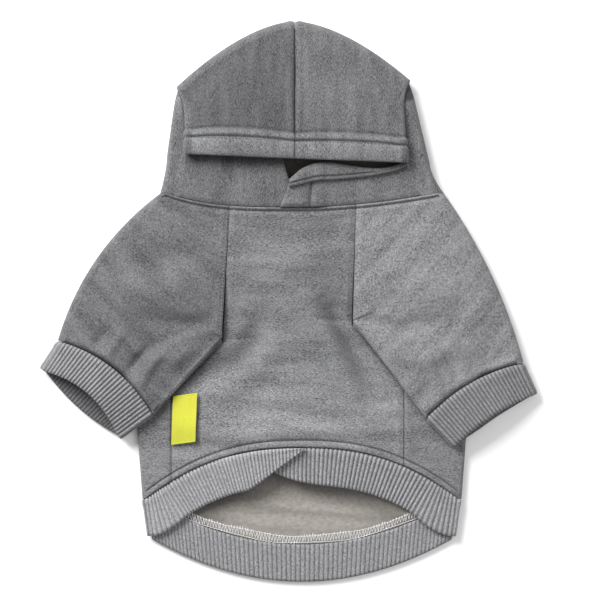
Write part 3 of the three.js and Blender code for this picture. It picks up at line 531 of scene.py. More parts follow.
# Painted shadow on the lining, beneath the front halves of the waistband.
LINING_PAINTED_SHADOW = [
    ((-112 - 230j, -64 - 209j, -20 - 187j), 12.0, 1.0),
    ((-24 - 187j, 40 - 204j, 108 - 232j), 7.0, 0.7),
]

# Creases of the back panel's inside, above the hem.
LINING_FOLDS = [
    ((-44 - 205j, -15 - 209j, 30 - 213j, 69 - 216j), 3.4, 1.5),
    ((-74 - 212j, -40 - 219j, 10 - 224j, 52 - 222j), 5.0, 0.9),
]


# Meshes


def wall_mesh(name, patches):
    """A closed wall over grids of knots. The outside and inside stand half the thickness off the middle,
    knots at one place are welded, and strips close the free edges. A patch is its cloth, which cells it
    has, and the material slot of its inside."""
    outer, inner, shade, cells, linings, base = [], [], [], [], [], 0
    for cloth, keep, lining in patches:
        half = (cloth.wall / 2)[..., None]
        rows, columns = cloth.wall.shape
        outer.append((cloth.middle + cloth.facing * (half + cloth.relief[..., None])).reshape(-1, 3))
        inner.append((cloth.middle - cloth.facing * half).reshape(-1, 3))
        shade.append(np.minimum(cloth.shade, DARKEST).ravel())
        ids = base + np.arange(rows * columns).reshape(rows, columns)
        ring = np.stack([ids[:-1, :-1], ids[:-1, 1:], ids[1:, 1:], ids[1:, :-1]], -1)
        mid = cloth.middle
        normal = np.cross(mid[1:, 1:] - mid[:-1, :-1], mid[1:, :-1] - mid[:-1, 1:])
        facing = cloth.facing[:-1, :-1] + cloth.facing[1:, 1:]
        mask = np.ones(ring.shape[:2], bool) if keep is None else keep
        if (np.einsum("ijk,ijk->ij", normal, facing) * mask).sum() < 0:
            ring = ring[..., ::-1]
        cells.append(ring[mask].reshape(-1, 4))
        linings.append(np.full(len(cells[-1]), lining, np.int32))
        base += rows * columns
    outer, inner, shade, cells, linings = (np.concatenate(a) for a in (outer, inner, shade, cells, linings))
    key = np.round(np.hstack([outer, inner]) * 100).astype(np.int64)
    _, first, weld = np.unique(key, axis=0, return_index=True, return_inverse=True)
    cells = weld.reshape(-1)[cells]
    outer, inner, shade = outer[first], inner[first], shade[first]
    count = len(first)
    a, b, c, d = cells.T
    distinct = 4 - (a == b).astype(int) - (b == c) - (c == d) - (d == a)
    real = (distinct >= 3) & (a != c) & (b != d)
    cells, linings = cells[real], linings[real]
    start = np.stack([cells, np.roll(cells, -1, 1)], -1).reshape(-1, 2)
    start = start[start[:, 0] != start[:, 1]]
    _, index, uses = np.unique(np.sort(start, 1), axis=0, return_index=True, return_counts=True)
    rim = start[index[uses == 1]]
    faces = np.vstack([cells, cells[:, ::-1] + count])
    walls = np.stack([rim[:, 0], rim[:, 0] + count, rim[:, 1] + count, rim[:, 1]], 1)
    faces = np.vstack([faces, walls])
    same = faces == np.roll(faces, 1, 1)
    loops = (~same).sum(1)
    mesh = bpy.data.meshes.new(name)
    points = (np.vstack([outer, inner]) + SHIFT) / 1000
    mesh.vertices.add(len(points))
    mesh.vertices.foreach_set("co", points.ravel())
    mesh.loops.add(int(loops.sum()))
    mesh.loops.foreach_set("vertex_index", faces[~same])
    mesh.polygons.add(len(faces))
    mesh.polygons.foreach_set("loop_start", np.concatenate([[0], np.cumsum(loops)[:-1]]))
    mesh.polygons.foreach_set("use_smooth", np.ones(len(faces), bool))
    slots = np.zeros(len(faces), np.int32)
    slots[len(cells):2 * len(cells)] = linings
    mesh.polygons.foreach_set("material_index", slots)
    # The shade attribute carries the painted shade, and the tone, to the materials.
    layer = mesh.attributes.new("shade", "FLOAT", "POINT")
    layer.data.foreach_set("value", np.concatenate([shade, shade]))
    mesh.update(calc_edges=True)
    mesh.validate()
    piece = bpy.data.objects.new(name, mesh)
    bpy.context.scene.collection.objects.link(piece)
    return piece


def area_of(piece):
    """Flat area of a wall in square metres: half of its whole surface."""
    areas = np.zeros(len(piece.data.polygons))
    piece.data.polygons.foreach_get("area", areas)
    return float(areas.sum()) / 2


def lay_cloth(piece, node, flat, materials):
    """Hangs the materials on a piece, hides the solid that it stands for, and hangs the piece from the root.
    """
    for material in materials:
        piece.data.materials.append(material)
    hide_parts(node)
    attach(piece, "root")
    size = (flat[0] / 1000, flat[1] / 1000)
    min(area_of(piece), size[0] * size[1])
    return piece


# Panels

YOKE_ROWS, BODY_ROWS = 6, 10


def line_at(along):
    """Shares down the sleeve seam and down the belly seam, at a share of the whole way down the body."""
    row = np.asarray(along, float) * (YOKE_ROWS + BODY_ROWS)
    return np.minimum(1, row / YOKE_ROWS), np.maximum(0, row - YOKE_ROWS) / BODY_ROWS


def body_ripple(place):
    """The belly's soft unevenness and its folds."""
    return ripple(place, 5) + folds_at(place, BELLY_FOLDS)


# How dark the belly is by its place down from the neck.
BELLY_TONE = [[-230, -0.1], [-180, -0.2], [-150, -0.38], [-130, -0.38], [-105, 0.05], [-70, 0.15], [-40, 0.2],
              [-15, 0.2], [20, 0.1]]


def belly_panel():
    """The upper panel, spread between the neck seam, the hem seam and the two sides; each side runs down
    the sleeve seam to the armpit and then down the belly seam."""
    inset = SEAM_GAP / 2

    def edge(side):
        def at(along):
            yoke, below = line_at(along)
            top = front_neck(side.sign * side.yoke * YOKE_WIDTH)
            upper = between(top, side.flap_start(0.0), yoke) - side.sign * between(inset, SEAM_GAP, yoke)
            return np.where(below > 0, side.beside_seam(below, -inset), upper)
        return at

    left, right = edge(SIDES["left"]), edge(SIDES["right"])
    x0, x1 = (left(0.0).real, right(0.0).real), (left(1.0).real, right(1.0).real)
    place = spread(lambda u: front_neck(between(*x0, u)) - 1j * inset,
                   lambda u: front_hem(between(*x1, u)) + 1j * inset, left, right)
    across, along = grid(graded(130), graded(190))
    point = place(across, along)
    width = np.abs(right(along) - left(along))
    sides = np.minimum(across, 1 - across) * width
    from_neck = (front_neck(point.real) - point).imag
    from_hem = (point - front_hem(point.real)).imag
    relief = (seam_relief(sides, groove=0.2) + across_strip(from_neck, NECK_PROFILE)
              + across_strip(from_hem, HEM_PROFILE))
    fade = smooth(np.minimum(sides, np.minimum(from_neck, from_hem)), 0, 14)
    # Painted shade in the seams' grooves, beside the sleeves and in the drag folds' hollows, plus the belly's
    # tone by its place down from the neck.
    shade = (across_strip(sides, SEAM_SHADE) + across_strip(from_neck, NECK_SHADE)
             + across_strip(from_hem, HEM_SHADE) + curve_at(point.imag, BELLY_TONE)
             + folds_at(point, BODY_PAINTED_SHADE))
    cloth = Cloth(point, body_rise(point) + body_ripple(point) * fade, relief=relief, shade=shade)
    return wall_mesh("belly_cloth", [(cloth, None, 1)])


def back_panel():
    """The lower panel: flat on the floor between its seams, turned up round both side folds to the belly
    seams."""
    inset = SEAM_GAP / 2

    def floor_edge(side):
        def at(along):
            yoke, below = line_at(along)
            top = back_neck(side.sign * side.yoke * YOKE_WIDTH * YOKE_SPREAD) - side.sign * inset
            return np.where(below > 0, side.flap_start(below), between(top, side.flap_start(0.0), yoke))
        return at

    left, right = floor_edge(SIDES["left"]), floor_edge(SIDES["right"])
    x0, x1 = (left(0.0).real, right(0.0).real), (left(1.0).real, right(1.0).real)
    floor = spread(lambda u: back_neck(between(*x0, u)) - 1j * inset,
                   lambda u: back_hem(between(*x1, u)) + 1j * inset, left, right)
    rows = np.unique(np.concatenate([graded(190, band=9.0), shares(YOKE_ROWS + BODY_ROWS)]))
    flap_steps, turn_steps = 20, 12

    def wrap(side):
        _, below = line_at(rows)
        share, low = grid(shares(flap_steps)[:-1], below)
        start = side.flap_start(low)
        point = between(np.where(low > 0, side.beside_seam(low, inset), side.belly_seam(low)), start, share)
        chord = between(side.belly_seam(1.0), side.flap_start(1.0), share)
        point = point + 1j * (front_hem(chord.real).imag - chord.imag) * low ** 2
        edge = side.side_fold(low)
        top = body_rise(edge)
        from_seam = np.abs(point - side.belly_seam(low))
        from_hem = (point - front_hem(point.real)).imag
        # The flap's shade is painted shade in the hem's grooves and beside the sleeves.
        flap = Cloth(point, np.where(low > 0, body_rise(point), top),
                     relief=seam_relief(from_seam) * smooth(low, 0.02, 0.1)
                     + across_strip(from_hem, HEM_PROFILE) * (low > 0.5),
                     shade=across_strip(from_hem, HEM_SHADE) + folds_at(point, BODY_PAINTED_SHADE))
        turn, low = grid(shares(turn_steps), below)
        edge = side.side_fold(low)
        return Cloth.beside(flap, turned(edge, side.side_out(low), body_rise(edge), FLOOR, turn))

    across, along = grid(shares(110)[1:-1], rows)
    point = floor(across, along)
    crease = np.maximum(0, folds_at(point, LINING_FOLDS)) * smooth((point - back_hem(point.real)).imag, 2, 8)
    # Painted shadow on the lining beneath the waistband's front halves.
    middle = Cloth(point, FLOOR + crease, (0, 0, -1), shade=folds_at(point, LINING_PAINTED_SHADOW))
    mirrored = wrap(SIDES["right"]).cut(columns=slice(None, None, -1))
    cloth = Cloth.beside(wrap(SIDES["left"]), middle, mirrored)
    reach = flap_steps + turn_steps
    upper = line_at(rows)[1] == 0
    for column, line in ((reach, left), (-1 - reach, right)):
        spot = line(rows[upper])
        cloth.middle[upper, column] = np.stack([spot.real, spot.imag, np.full(spot.shape, FLOOR)], -1)
        cloth.facing[upper, column] = (0, 0, -1)
    keep = np.ones((len(rows) - 1, cloth.wall.shape[1] - 1), bool)
    keep[upper[1:], :reach] = False
    keep[upper[1:], -reach:] = False
    return wall_mesh("back_cloth", [(cloth, keep, 1)])


# Sleeves and cuffs


def sleeve_lines(side):
    """The outer fold bows out from the neck to the cuff; the inner one runs straight from the armpit."""
    chord = side.cuff_outer - side.neck_end
    bulge_way = sideways(lambda t: between(side.neck_end, side.cuff_outer, t), 0.5, side.sign + 0j)

    def shoulder(along):
        """A straight line from the neck to the cuff, bulged outwards as a hump."""
        bulge = side.shoulder_bulge * np.abs(chord) * hump(along)
        return between(side.neck_end, side.cuff_outer, along) + bulge_way * bulge

    def shoulder_out(along):
        """At right angles to the fold, but straight out sideways at the neck."""
        normal = sideways(shoulder, along, side.sign + 0j)
        return unit(between(side.sign + 0j, normal, smooth(along, 0, 0.2)))

    def underarm(along):
        """At the armpit for the first half, then straight to the cuff."""
        return between(side.armpit, side.cuff_inner, np.clip((np.asarray(along) - 0.5) / 0.5, 0, 1))

    underarm_out = sideways(lambda t: between(side.armpit, side.cuff_inner, t), 0.5, -side.sign + 0j)
    return shoulder, shoulder_out, underarm, underarm_out


def turn_rises(edge, wall=FLEECE):
    """Rises at a turn: the lower layer, the upper one pressed shut, and the upper one full of air."""
    under = rest_rise(edge, wall)
    shut = under + wall + LAYER_GAP
    return under, shut, np.maximum(SHOULDER_RISE, shut)


# Folds of the sleeves, in rows like the belly's.
SLEEVE_FOLDS = {
    "left": [
        ((-58 - 78j, -82 - 82j, -116 - 76j), 6.0, -3.2),
        ((-62 - 98j, -86 - 105j, -122 - 98j), 6.5, 2.6),
        ((-113 - 128j, -107 - 114j, -96 - 100j), 3.2, 2.4),
        ((-122 - 121j, -116 - 109j, -104 - 94j), 3.2, -2.2),
        ((-138 - 108j, -132 - 98j, -124 - 86j), 3.4, 1.9),
        ((-147 - 103j, -142 - 94j, -134 - 82j), 3.4, -1.6),
        ((-66 - 26j, -92 - 36j, -122 - 42j), 9.0, -2.0),
        ((-74 - 48j, -98 - 58j, -130 - 60j), 9.0, 1.8),
    ],
    "right": [
        ((42 - 76j, 66 - 84j, 100 - 80j), 6.5, -3.0),
        ((50 - 100j, 78 - 106j, 112 - 98j), 7.0, 2.6),
        ((98 - 132j, 92 - 116j, 82 - 100j), 3.6, 2.3),
        ((110 - 124j, 105 - 110j, 96 - 96j), 3.4, -2.2),
        ((126 - 114j, 121 - 102j, 112 - 90j), 3.6, 1.8),
        ((52 - 26j, 76 - 38j, 104 - 44j), 9.0, -1.8),
        ((50 - 50j, 78 - 60j, 112 - 62j), 9.0, 1.5),
    ],
}


def sleeve(side):
    """Upper layer, outer turn, lower layer and, below the armpit, the inner turn that closes the tube."""
    shoulder, shoulder_out, underarm, underarm_out = sleeve_lines(side)
    inset = SEAM_GAP / 2
    yoke = side.sign * side.yoke * YOKE_WIDTH

    def outer_start(along):
        """Where the front layer ends and the turn along the outer fold starts."""
        edge = shoulder(along)
        under, _, full = turn_rises(edge)
        return turn_start(edge, shoulder_out(along), full, under)

    def inner_start(along):
        """Where the front layer ends and the turn along the underarm starts."""
        edge = underarm(along)
        under, shut, _ = turn_rises(edge)
        return turn_start(edge, underarm_out, shut, under)

    def seam(top):
        """Straight from the neck to the armpit for the first half, then along the underarm."""
        return lambda along: np.where(
            np.asarray(along) < 0.5,
            between(top, side.armpit, np.clip(np.asarray(along) * 2, 0, 1)) + side.sign * inset,
            inner_start(along))

    front_seam, back_seam = seam(front_neck(yoke)), seam(back_neck(yoke * YOKE_SPREAD))
    sag_way = tilted(90 + side.cuff_tilt, -side.sign)

    def cuff_seam(across):
        """Straight between the folds' ends, sagging as a hump."""
        return between(inner_start(1.0), outer_start(1.0), across) + (
            sag_way * side.cuff_sag * CUFF_WIDTH * hump(across))

    def neck_row(neck, start):
        """Along a neck line, from the seam's end to the outer fold."""
        return lambda across: neck(between(start.real, outer_start(0.0).real, across)) - 1j * inset

    front = spread(neck_row(front_neck, front_seam(0.0)), cuff_seam, front_seam, outer_start)
    under = spread(neck_row(back_neck, back_seam(0.0)), cuff_seam, back_seam, outer_start)
    rows = np.unique(np.concatenate([graded(160), [0.5]]))
    below = rows >= 0.5

    across, along = grid(graded(100)[:-1], rows)
    point = front(across, along)
    least = rest_rise(point) + FLEECE + LAYER_GAP + 0.8 * PUFF * smooth(across, 0, 0.15)
    own = between(between(RAGLAN_RISE, 0, smooth(along, 0.5, 1)), SHOULDER_RISE, across)
    own = own + PUFF * hump(across) * smooth(along, 0, 0.35)
    width = np.abs(outer_start(along) - front_seam(along))
    from_seam = np.where(along < 0.5, across * width, 40.0)
    from_cuff = (1 - along) * FROM_CUFF
    ends = np.minimum(along * FROM_NECK, from_cuff)
    inside = smooth(np.minimum(from_seam, ends), 0, 10) * smooth(across * width, 0, 12)
    soft = (ripple(point, 11 + side.sign) * 1.2 + folds_at(point, SLEEVE_FOLDS[side.name])) * inside
    rise = np.maximum(rest_rise(point) + FLEECE + LAYER_GAP, np.maximum(least, own) + soft)
    shut = turn_rises(underarm(along))[1]
    rise = np.where((across == 0) & (along >= 0.5), shut, rise)
    from_neck = (front_neck(point.real) - point).imag
    relief = (seam_relief(from_seam, groove=0.2) + across_strip(from_neck, NECK_PROFILE) * (along < 0.3)
              + across_strip(from_cuff, CUFF_PROFILE))
    # Painted shade in the seam's and neck's grooves and where the sleeve's edge overhangs the cuff.
    shade = (across_strip(from_seam, SEAM_SHADE) + across_strip(from_neck, NECK_SHADE)
             + across_strip(from_cuff, CUFF_SHADE))
    upper = Cloth(point, rise, relief=relief, shade=shade)

    turn, along = grid(shares(12), rows)
    edge = shoulder(along) - 1j * inset * (along == 0)
    low, _, full = turn_rises(edge)
    outer = turned(edge, shoulder_out(along), full, low, turn)

    across, along = grid(shares(60)[::-1][1:], rows)
    point = under(across, along)
    closed = (across == 0) & (along >= 0.5)
    lower = Cloth(point, np.where(closed, turn_rises(underarm(along))[0], rest_rise(point)), (0, 0, -1))

    turn, along = grid(shares(10)[::-1][1:], rows)
    edge = underarm(along)
    low, shut, _ = turn_rises(edge)
    inner = turned(edge, underarm_out + 0 * edge, shut, low, turn)
    cloth = Cloth.beside(upper, outer, lower, inner)
    keep = np.ones((len(rows) - 1, cloth.wall.shape[1] - 1), bool)
    keep[~below[:-1], -10:] = False
    return wall_mesh(f"sleeve_{side.name}_cloth", [(cloth, keep, 1)])


RIB_HEIGHT = 0.8


def rib(count):
    """Round ribs with narrow grooves between them, where count is how many lie before a place."""
    return RIB_HEIGHT * (np.abs(np.cos(np.pi * count)) ** 0.8 - 0.7)


def ring_length(cloth, row):
    """Length along a row of knots, from its first."""
    step = np.diff(cloth.middle[row], axis=0)
    return np.concatenate([[0], np.cumsum(np.linalg.norm(step, axis=1))])


def add_ribs(cloth, row, pitches, closed=False):
    """Ribs along a row of knots, at pitches given for evenly spaced places along it."""
    along = ring_length(cloth, row)
    pitch = np.interp(along, np.linspace(0, along[-1], len(pitches)), pitches)
    count = np.concatenate([[0], np.cumsum(np.diff(along) / pitch[1:])])
    if closed:
        count = count * round(count[-1]) / count[-1]
    ribs = rib(count)
    cloth.relief += ribs[None, :]
    cloth.wall += ribs[None, :] * 0.9
    # Painted shade in the grooves between the ribs.
    cloth.shade += np.broadcast_to(smooth(-ribs, -0.12, 0.45)[None, :], cloth.shade.shape)
    return cloth


CUFF_PITCH = 2.7
# Painted shade over the cuff's lower layer, which shows inside its open end.
CUFF_INSIDE_SHADE = 0.6


def cuff(side):
    """A ribbed ring that goes on from the sleeve. Its near edge draws back, so that the inside shows."""
    wall = RIB_WALL
    _, shoulder_out, _, underarm_out = sleeve_lines(side)
    sag_way = tilted(90 + side.cuff_tilt, -side.sign)
    gap = tilted((side.outer_tilt + side.inner_tilt) / 2, side.sign) * CUFF_GAP

    def outer(along):
        """The outer fold, straight from the sleeve to the rim."""
        return between(side.cuff_outer, side.rim_outer, along)

    def inner(along):
        """The inner fold, straight from the sleeve to the rim."""
        return between(side.cuff_inner, side.rim_inner, along)

    own_outer = sideways(outer, 0.5, side.sign + 0j)
    own_inner = sideways(inner, 0.5, -side.sign + 0j)

    def outer_out(along):
        """The way out, turned from the sleeve's to the cuff's own."""
        return unit(between(shoulder_out(1.0), own_outer, along))

    def inner_out(along):
        """The way out, turned from the sleeve's to the cuff's own."""
        return unit(between(underarm_out, own_inner, along))

    def rises(edge, along):
        """Rises of the lower layer, of a closed fold, and of the outer fold, lifted to the rim."""
        under = rest_rise(edge, wall)
        shut = under + wall + LAYER_GAP
        return under, shut, between(np.maximum(SHOULDER_RISE, shut), shut + side.lift, along)

    def layer(across, along, rim_sag):
        """A layer between both folds, sagging as a hump more and more to the rim."""
        a, b = inner(along), outer(along)
        low, high = rises(a, along), rises(b, along)
        a = turn_start(a, inner_out(along), low[1], low[0], wall)
        b = turn_start(b, outer_out(along), high[2], high[0], wall)
        sag = between(side.cuff_sag, rim_sag, along) * CUFF_WIDTH * hump(across)
        return between(a, b, across) + sag_way * sag + gap

    rows = shares(14)
    across, along = grid(shares(210)[:-1], rows)
    point = layer(across, along, side.near_sag)
    low, high = rises(inner(along), along), rises(outer(along), along)
    least = rest_rise(point, wall) + wall + LAYER_GAP
    own = between(low[1], high[2], across) + (PUFF + side.lift * along) * hump(across)
    upper = Cloth(point, np.where(across == 0, low[1], np.maximum(least, own)), wall=wall)
    turn, along = grid(shares(14), rows)
    under, _, full = rises(outer(along), along)
    far = turned(outer(along) + gap, outer_out(along), full, under, turn, wall)
    across, along = grid(shares(210)[::-1][1:], rows)
    point = layer(across, along, side.far_sag)
    low = rises(inner(along), along)
    # The lower layer carries painted shade.
    lower = Cloth(point, np.where(across == 0, low[0], rest_rise(point, wall)), (0, 0, -1), wall=wall,
                  shade=CUFF_INSIDE_SHADE)
    turn, along = grid(shares(14)[::-1][1:], rows)
    under, shut, _ = rises(inner(along), along)
    near = turned(inner(along) + gap, inner_out(along), shut, under, turn, wall)
    cloth = add_ribs(Cloth.beside(upper, far, lower, near), 7, [CUFF_PITCH], True)
    start = seam_relief(rows * CUFF_LENGTH, groove=0.9, puff=0.3, reach=4.0)
    cloth.relief += start[:, None] - 0.5 * bell((1 - rows) * CUFF_LENGTH, 0, 1.0)[:, None]
    cloth.facing[:, -1], cloth.middle[:, -1] = cloth.facing[:, 0], cloth.middle[:, 0]
    cloth.relief[:, -1], cloth.wall[:, -1] = cloth.relief[:, 0], cloth.wall[:, 0]
    return wall_mesh(f"cuff_{side.name}_knit", [(cloth, None, 1)])


# How dark each front half of the waistband is, where below zero is painted light, most on the left half that
# faces the key light, and the ribs' pitches at even places round it.
BAND_PAINTED_LIGHT = {"left": -0.4, "right": -0.1}
BAND_PITCHES = [2.9, 3.0, 3.3, 3.3, 2.6, 2.5]


def waistband():
    """One ribbed strip, from its right end beneath, round the back, to its left end on top. Both ends
    taper to the hem seam, so that they cross."""
    wall = RIB_WALL
    half = HEM_SPAN / 2
    floor = BAND_FLOOR
    tip = {"left": BAND_TIP, "right": BAND_TIP - BAND_OVERLAP}
    fold_rise = max(SIDE_RISE, floor + wall + LAYER_GAP)

    def hem_fold(side, share):
        """The waistband's fold at one side, narrowing to its free edge."""
        return side.sign * (half - BAND_NARROWING * share) + 1j * (side.side_y - FOLD_GAP - WAISTBAND * share)

    def start(side, share):
        """Where the waistband's front half starts to turn to the back."""
        return turn_start(hem_fold(side, share), side.sign + 0j, fold_rise, floor, wall)

    def front(side, across, share):
        fold = start(side, 0.0)
        x = between(tip[side.name], fold.real, across)
        inward = side.sign * (x - tip[side.name])
        taper = np.clip(1 - inward / side.band_taper, 0, 1)
        reach = share * (1 - taper ** side.taper_power)
        slope = unit((front_hem(x + 1).imag - front_hem(x - 1).imag) - 2j)
        own = front_hem(x) + slope * (BAND_GAP + WAISTBAND * reach)
        end = start(side, share)
        drop = (front_hem(x).imag - fold.imag) * (1 - share)
        edge = end.real + (x - fold.real) + 1j * (end.imag + drop)
        folding = smooth(across, 0.86, 1)
        point = between(own, edge, folding)
        level = body_rise(front_hem(x)) * between(1, BAND_SETTLING, reach)
        level = between(level, fold_rise, smooth(across, 0.75, 1))
        if side.name == "left":
            level = level + (wall + 2 * LAYER_GAP) * (1 - smooth(inward, BAND_OVERLAP, BAND_OVERLAP * 1.5))
        # The front half's shade is painted light: lighter on the left half, which faces the key light.
        return Cloth(point, level, wall=wall, shade=BAND_PAINTED_LIGHT[side.name])

    rows = shares(12)
    across, share = grid(shares(320)[:-1], rows)
    right = front(SIDES["right"], across, share)
    turn, share = grid(shares(12), rows)
    right_turn = turned(hem_fold(SIDES["right"], share), 1 + 0 * share * 1j, fold_rise, floor, turn, wall)
    across, share = grid(shares(460)[::-1][1:-1], rows)
    x = between(start(SIDES["left"], share).real, start(SIDES["right"], share).real, across)
    back = Cloth(x + 1j * (back_hem(x).imag - BAND_GAP - WAISTBAND * share), floor, (0, 0, -1), wall=wall)
    turn, share = grid(shares(12)[::-1], rows)
    left_turn = turned(hem_fold(SIDES["left"], share), -1 + 0 * share * 1j, fold_rise, floor, turn, wall)
    across, share = grid(shares(280)[::-1][1:], rows)
    left = front(SIDES["left"], across, share)
    cloth = add_ribs(Cloth.beside(right, right_turn, back, left_turn, left), 4, BAND_PITCHES)
    cloth.relief += seam_relief(rows * WAISTBAND, groove=0.5, puff=0.5, reach=3.0)[:, None]
    return wall_mesh("waistband_knit", [(cloth, None, 1)])


# Hood

# The side's section at the brow, from the crown's edge to the back layer: out in millimetres beyond the
# crown's edge or in turn radii beyond the strip, rise as a share of the way up to the layer, facing in
# degrees.
CROWN_FOLD = np.array([
    [0.0, 1.0, 90], [2.2, 0.93, 52], [3.3, 0.68, 0], [2.0, 0.34, -35], [2.4, 0.08, 30], [4.6, 0.0, 90],
])
STRIP_FOLD = np.array([[-1.0, 1.0, 90], [-0.3, 0.85, 45], [0.0, 0.5, 0], [-0.3, 0.15, -45], [-1.0, 0.0, -90]])
STEP_SPLIT = 6
SIDE_COLUMNS = 10 * STEP_SPLIT
# How much lighter the side strips and the turned hem are than the crown.
STRIP_TONE = 0.25
HEM_TONE = 0.6
CROWN_STEPS = 96
CROWN_ROWS = 92
HEM_LINES = np.linspace(0, 1.24, 36)


def through(values, split):
    """A smooth curve through each row's columns, with the given number of new columns to every old one."""
    last = values.shape[1] - 1
    at = np.linspace(0, last, last * split + 1)
    n = np.minimum(at.astype(int), last - 1)
    t = (at - n).reshape((1, -1) + (1,) * (values.ndim - 2))
    a, b, c, d = (values[:, np.clip(n + k, 0, last)] for k in (-1, 0, 1, 2))
    return b + 0.5 * t * (c - a + t * (2 * a - 5 * b + 4 * c - d + t * (3 * (b - c) + d - a)))


# Folds of the hood, in rows like the belly's.
HOOD_FOLDS = {
    "left": [
        ((-62 + 52j, -60 + 80j, -46 + 104j), 8.0, 1.0),
        ((-40 + 50j, -34 + 72j, -30 + 96j), 9.0, -1.0),
    ],
    "right": [
        ((52 + 46j, 56 + 70j, 48 + 92j), 8.0, 0.9),
        ((24 + 48j, 28 + 74j, 26 + 98j), 10.0, -0.9),
    ],
}


class Hood:
    """Lines of one half of the hood. The level is 1 at the top corner, 0 at the brow and -1 at the neck."""

    def __init__(self, side):
        sign = side.sign
        self.side = side
        self.corner = HOOD_MIDDLE + side.corner * HOOD_CORNERS * sign + 1j * side.corner_up * CORNER_HEIGHT
        self.mouth = side_mouth(side)
        self.peak = HOOD_MIDDLE + 1j * HOOD_HEIGHT
        self.neck_edge = side.neck_end + 1j * SEAM_GAP / 2
        self.cheek_side = between(self.corner.real, self.neck_edge.real, SIDE_WAIST) + 1j * self.mouth.imag
        self.radius = (CROWN_RISE - FLOOR) / 2

    def top_edge(self, across):
        """From the peak to the corner: the drop is a power of the share across."""
        across = np.asarray(across, float)
        return (between(self.peak.real, self.corner.real, across)
                + 1j * between(self.peak.imag, self.corner.imag, across ** CROWN_CURVE))

    def top_out(self, across):
        """The way out at right angles to the top edge, straight up at the centre seam."""
        across = np.asarray(across, float)
        way = sideways(self.top_edge, np.minimum(across, 0.98), 1j)
        return np.where(across == 0, 1j, way)

    def top_start(self, across):
        """Where the crown ends and the turn along the top edge starts."""
        return turn_start(self.top_edge(across), self.top_out(across), CROWN_RISE, FLOOR)

    def side_edge(self, level):
        """Straight from the corner to the cheek, then outwards to the neck as a power of the share."""
        low = np.maximum(0, -level)
        lower = (between(self.cheek_side.real, self.neck_edge.real, low ** 1.6)
                 + 1j * between(self.cheek_side.imag, self.neck_edge.imag, low))
        return np.where(level >= 0, between(self.cheek_side, self.corner, np.maximum(level, 0)), lower)

    def section(self, level):
        """Rows of cloth round the side, one for each level. The crown's edge stays folded over the strip
        nearly up to the corner, and at the neck the strip's layers come to their own seams."""
        level = np.atleast_1d(np.asarray(level, float))
        up = np.clip(level, 0, 1)[:, None]
        way = unit(between(self.side.sign + 0j, self.top_out(1.0), up ** 4))
        top = crown_rise(up)
        mid = np.where(level >= 0, between(CHEEK_RISE, CROWN_RISE, np.maximum(level, 0) ** 3),
                       between(CHEEK_RISE, SHOULDER_RISE, -level))[:, None]
        turn = (mid - FLOOR) / 2
        pleated = self.side.sign * (self.cheek_side.real - self.mouth.real) + PLEAT
        reach = between(pleated, 2.2 * FLEECE + turn, up)
        amount = up ** self.side.unfolding
        base = self.side_edge(level)[:, None] - way * (between(reach, self.radius, amount) + FLEECE / 2)
        out = np.hstack([CROWN_FOLD[None, :, 0] + 0 * turn, reach + STRIP_FOLD[None, :, 0] * turn])
        rise = np.hstack([between(mid, top, CROWN_FOLD[None, :, 1]),
                          between(FLOOR, mid, STRIP_FOLD[None, :, 1])])
        facing = np.radians(np.concatenate([CROWN_FOLD[:, 2], STRIP_FOLD[:, 2]]))[None]
        angle = np.pi * (0.5 - np.arange(11) / 10)[None]
        out = between(out, self.radius * np.cos(angle), amount)
        rise = between(rise, FLOOR + self.radius * (1 + np.sin(angle)), amount)
        facing = between(facing, angle, amount)
        out, rise, facing = (through(a, STEP_SPLIT) for a in (out, rise, facing))
        place = base + way * out
        share = np.clip((rise - FLOOR) / (mid - FLOOR), 0, 1)
        seam = between(back_neck(place.real).imag, front_neck(place.real).imag, share) + SEAM_GAP / 2
        place = place + 1j * (seam - self.neck_edge.imag) * np.clip(-level, 0, 1)[:, None] ** 3
        past = np.arange(SIDE_COLUMNS + 1) > 3 * STEP_SPLIT
        # Painted shade on the strip beside the crown's edge, and a painted shadow in the wedge below the
        # corner; the strip's tone makes it lighter.
        deep = past * bell(out, CROWN_FOLD[2, 0], self.side.pleat_shade) * smooth(up, 0, 0.1)
        wedge = self.side.wedge * past * smooth(up, 0.74, 0.8) * (rise > between(FLOOR, mid, 0.4))
        cloth = Cloth(place, rise, shade=np.maximum(deep, wedge) - STRIP_TONE * past + 0 * place.real)
        cloth.facing = np.stack([way.real * np.cos(facing), way.imag * np.cos(facing), np.sin(facing)], -1)
        return cloth


def crown_rise(level):
    """Rise of the crown, from the brow to the corner."""
    return between(BROW_RISE, CROWN_RISE, level ** 1.4)


# The right cheek's turned-out hem: share of the way from its free end to the side, height of its fold above
# the body's neck line, and how far it hangs down.
FLAP = np.array([
    [0.0, 19.4, 3.2], [0.11, 27.0, 8.6], [0.23, 30.8, 10.0], [0.34, 31.2, 9.8], [0.48, 29.8, 7.6],
    [0.62, 27.8, 4.6], [0.77, 26.6, 2.2], [1.0, 27.0, 1.6],
])
FLAP_TURN = (FLEECE + LAYER_GAP) / 2 + FLEECE / 2
LEFT_CHEEK_TOP = 44.0


def plan(cloth):
    """Places in plan of a cloth's knots."""
    return cloth.middle[..., 0] + 1j * cloth.middle[..., 1]


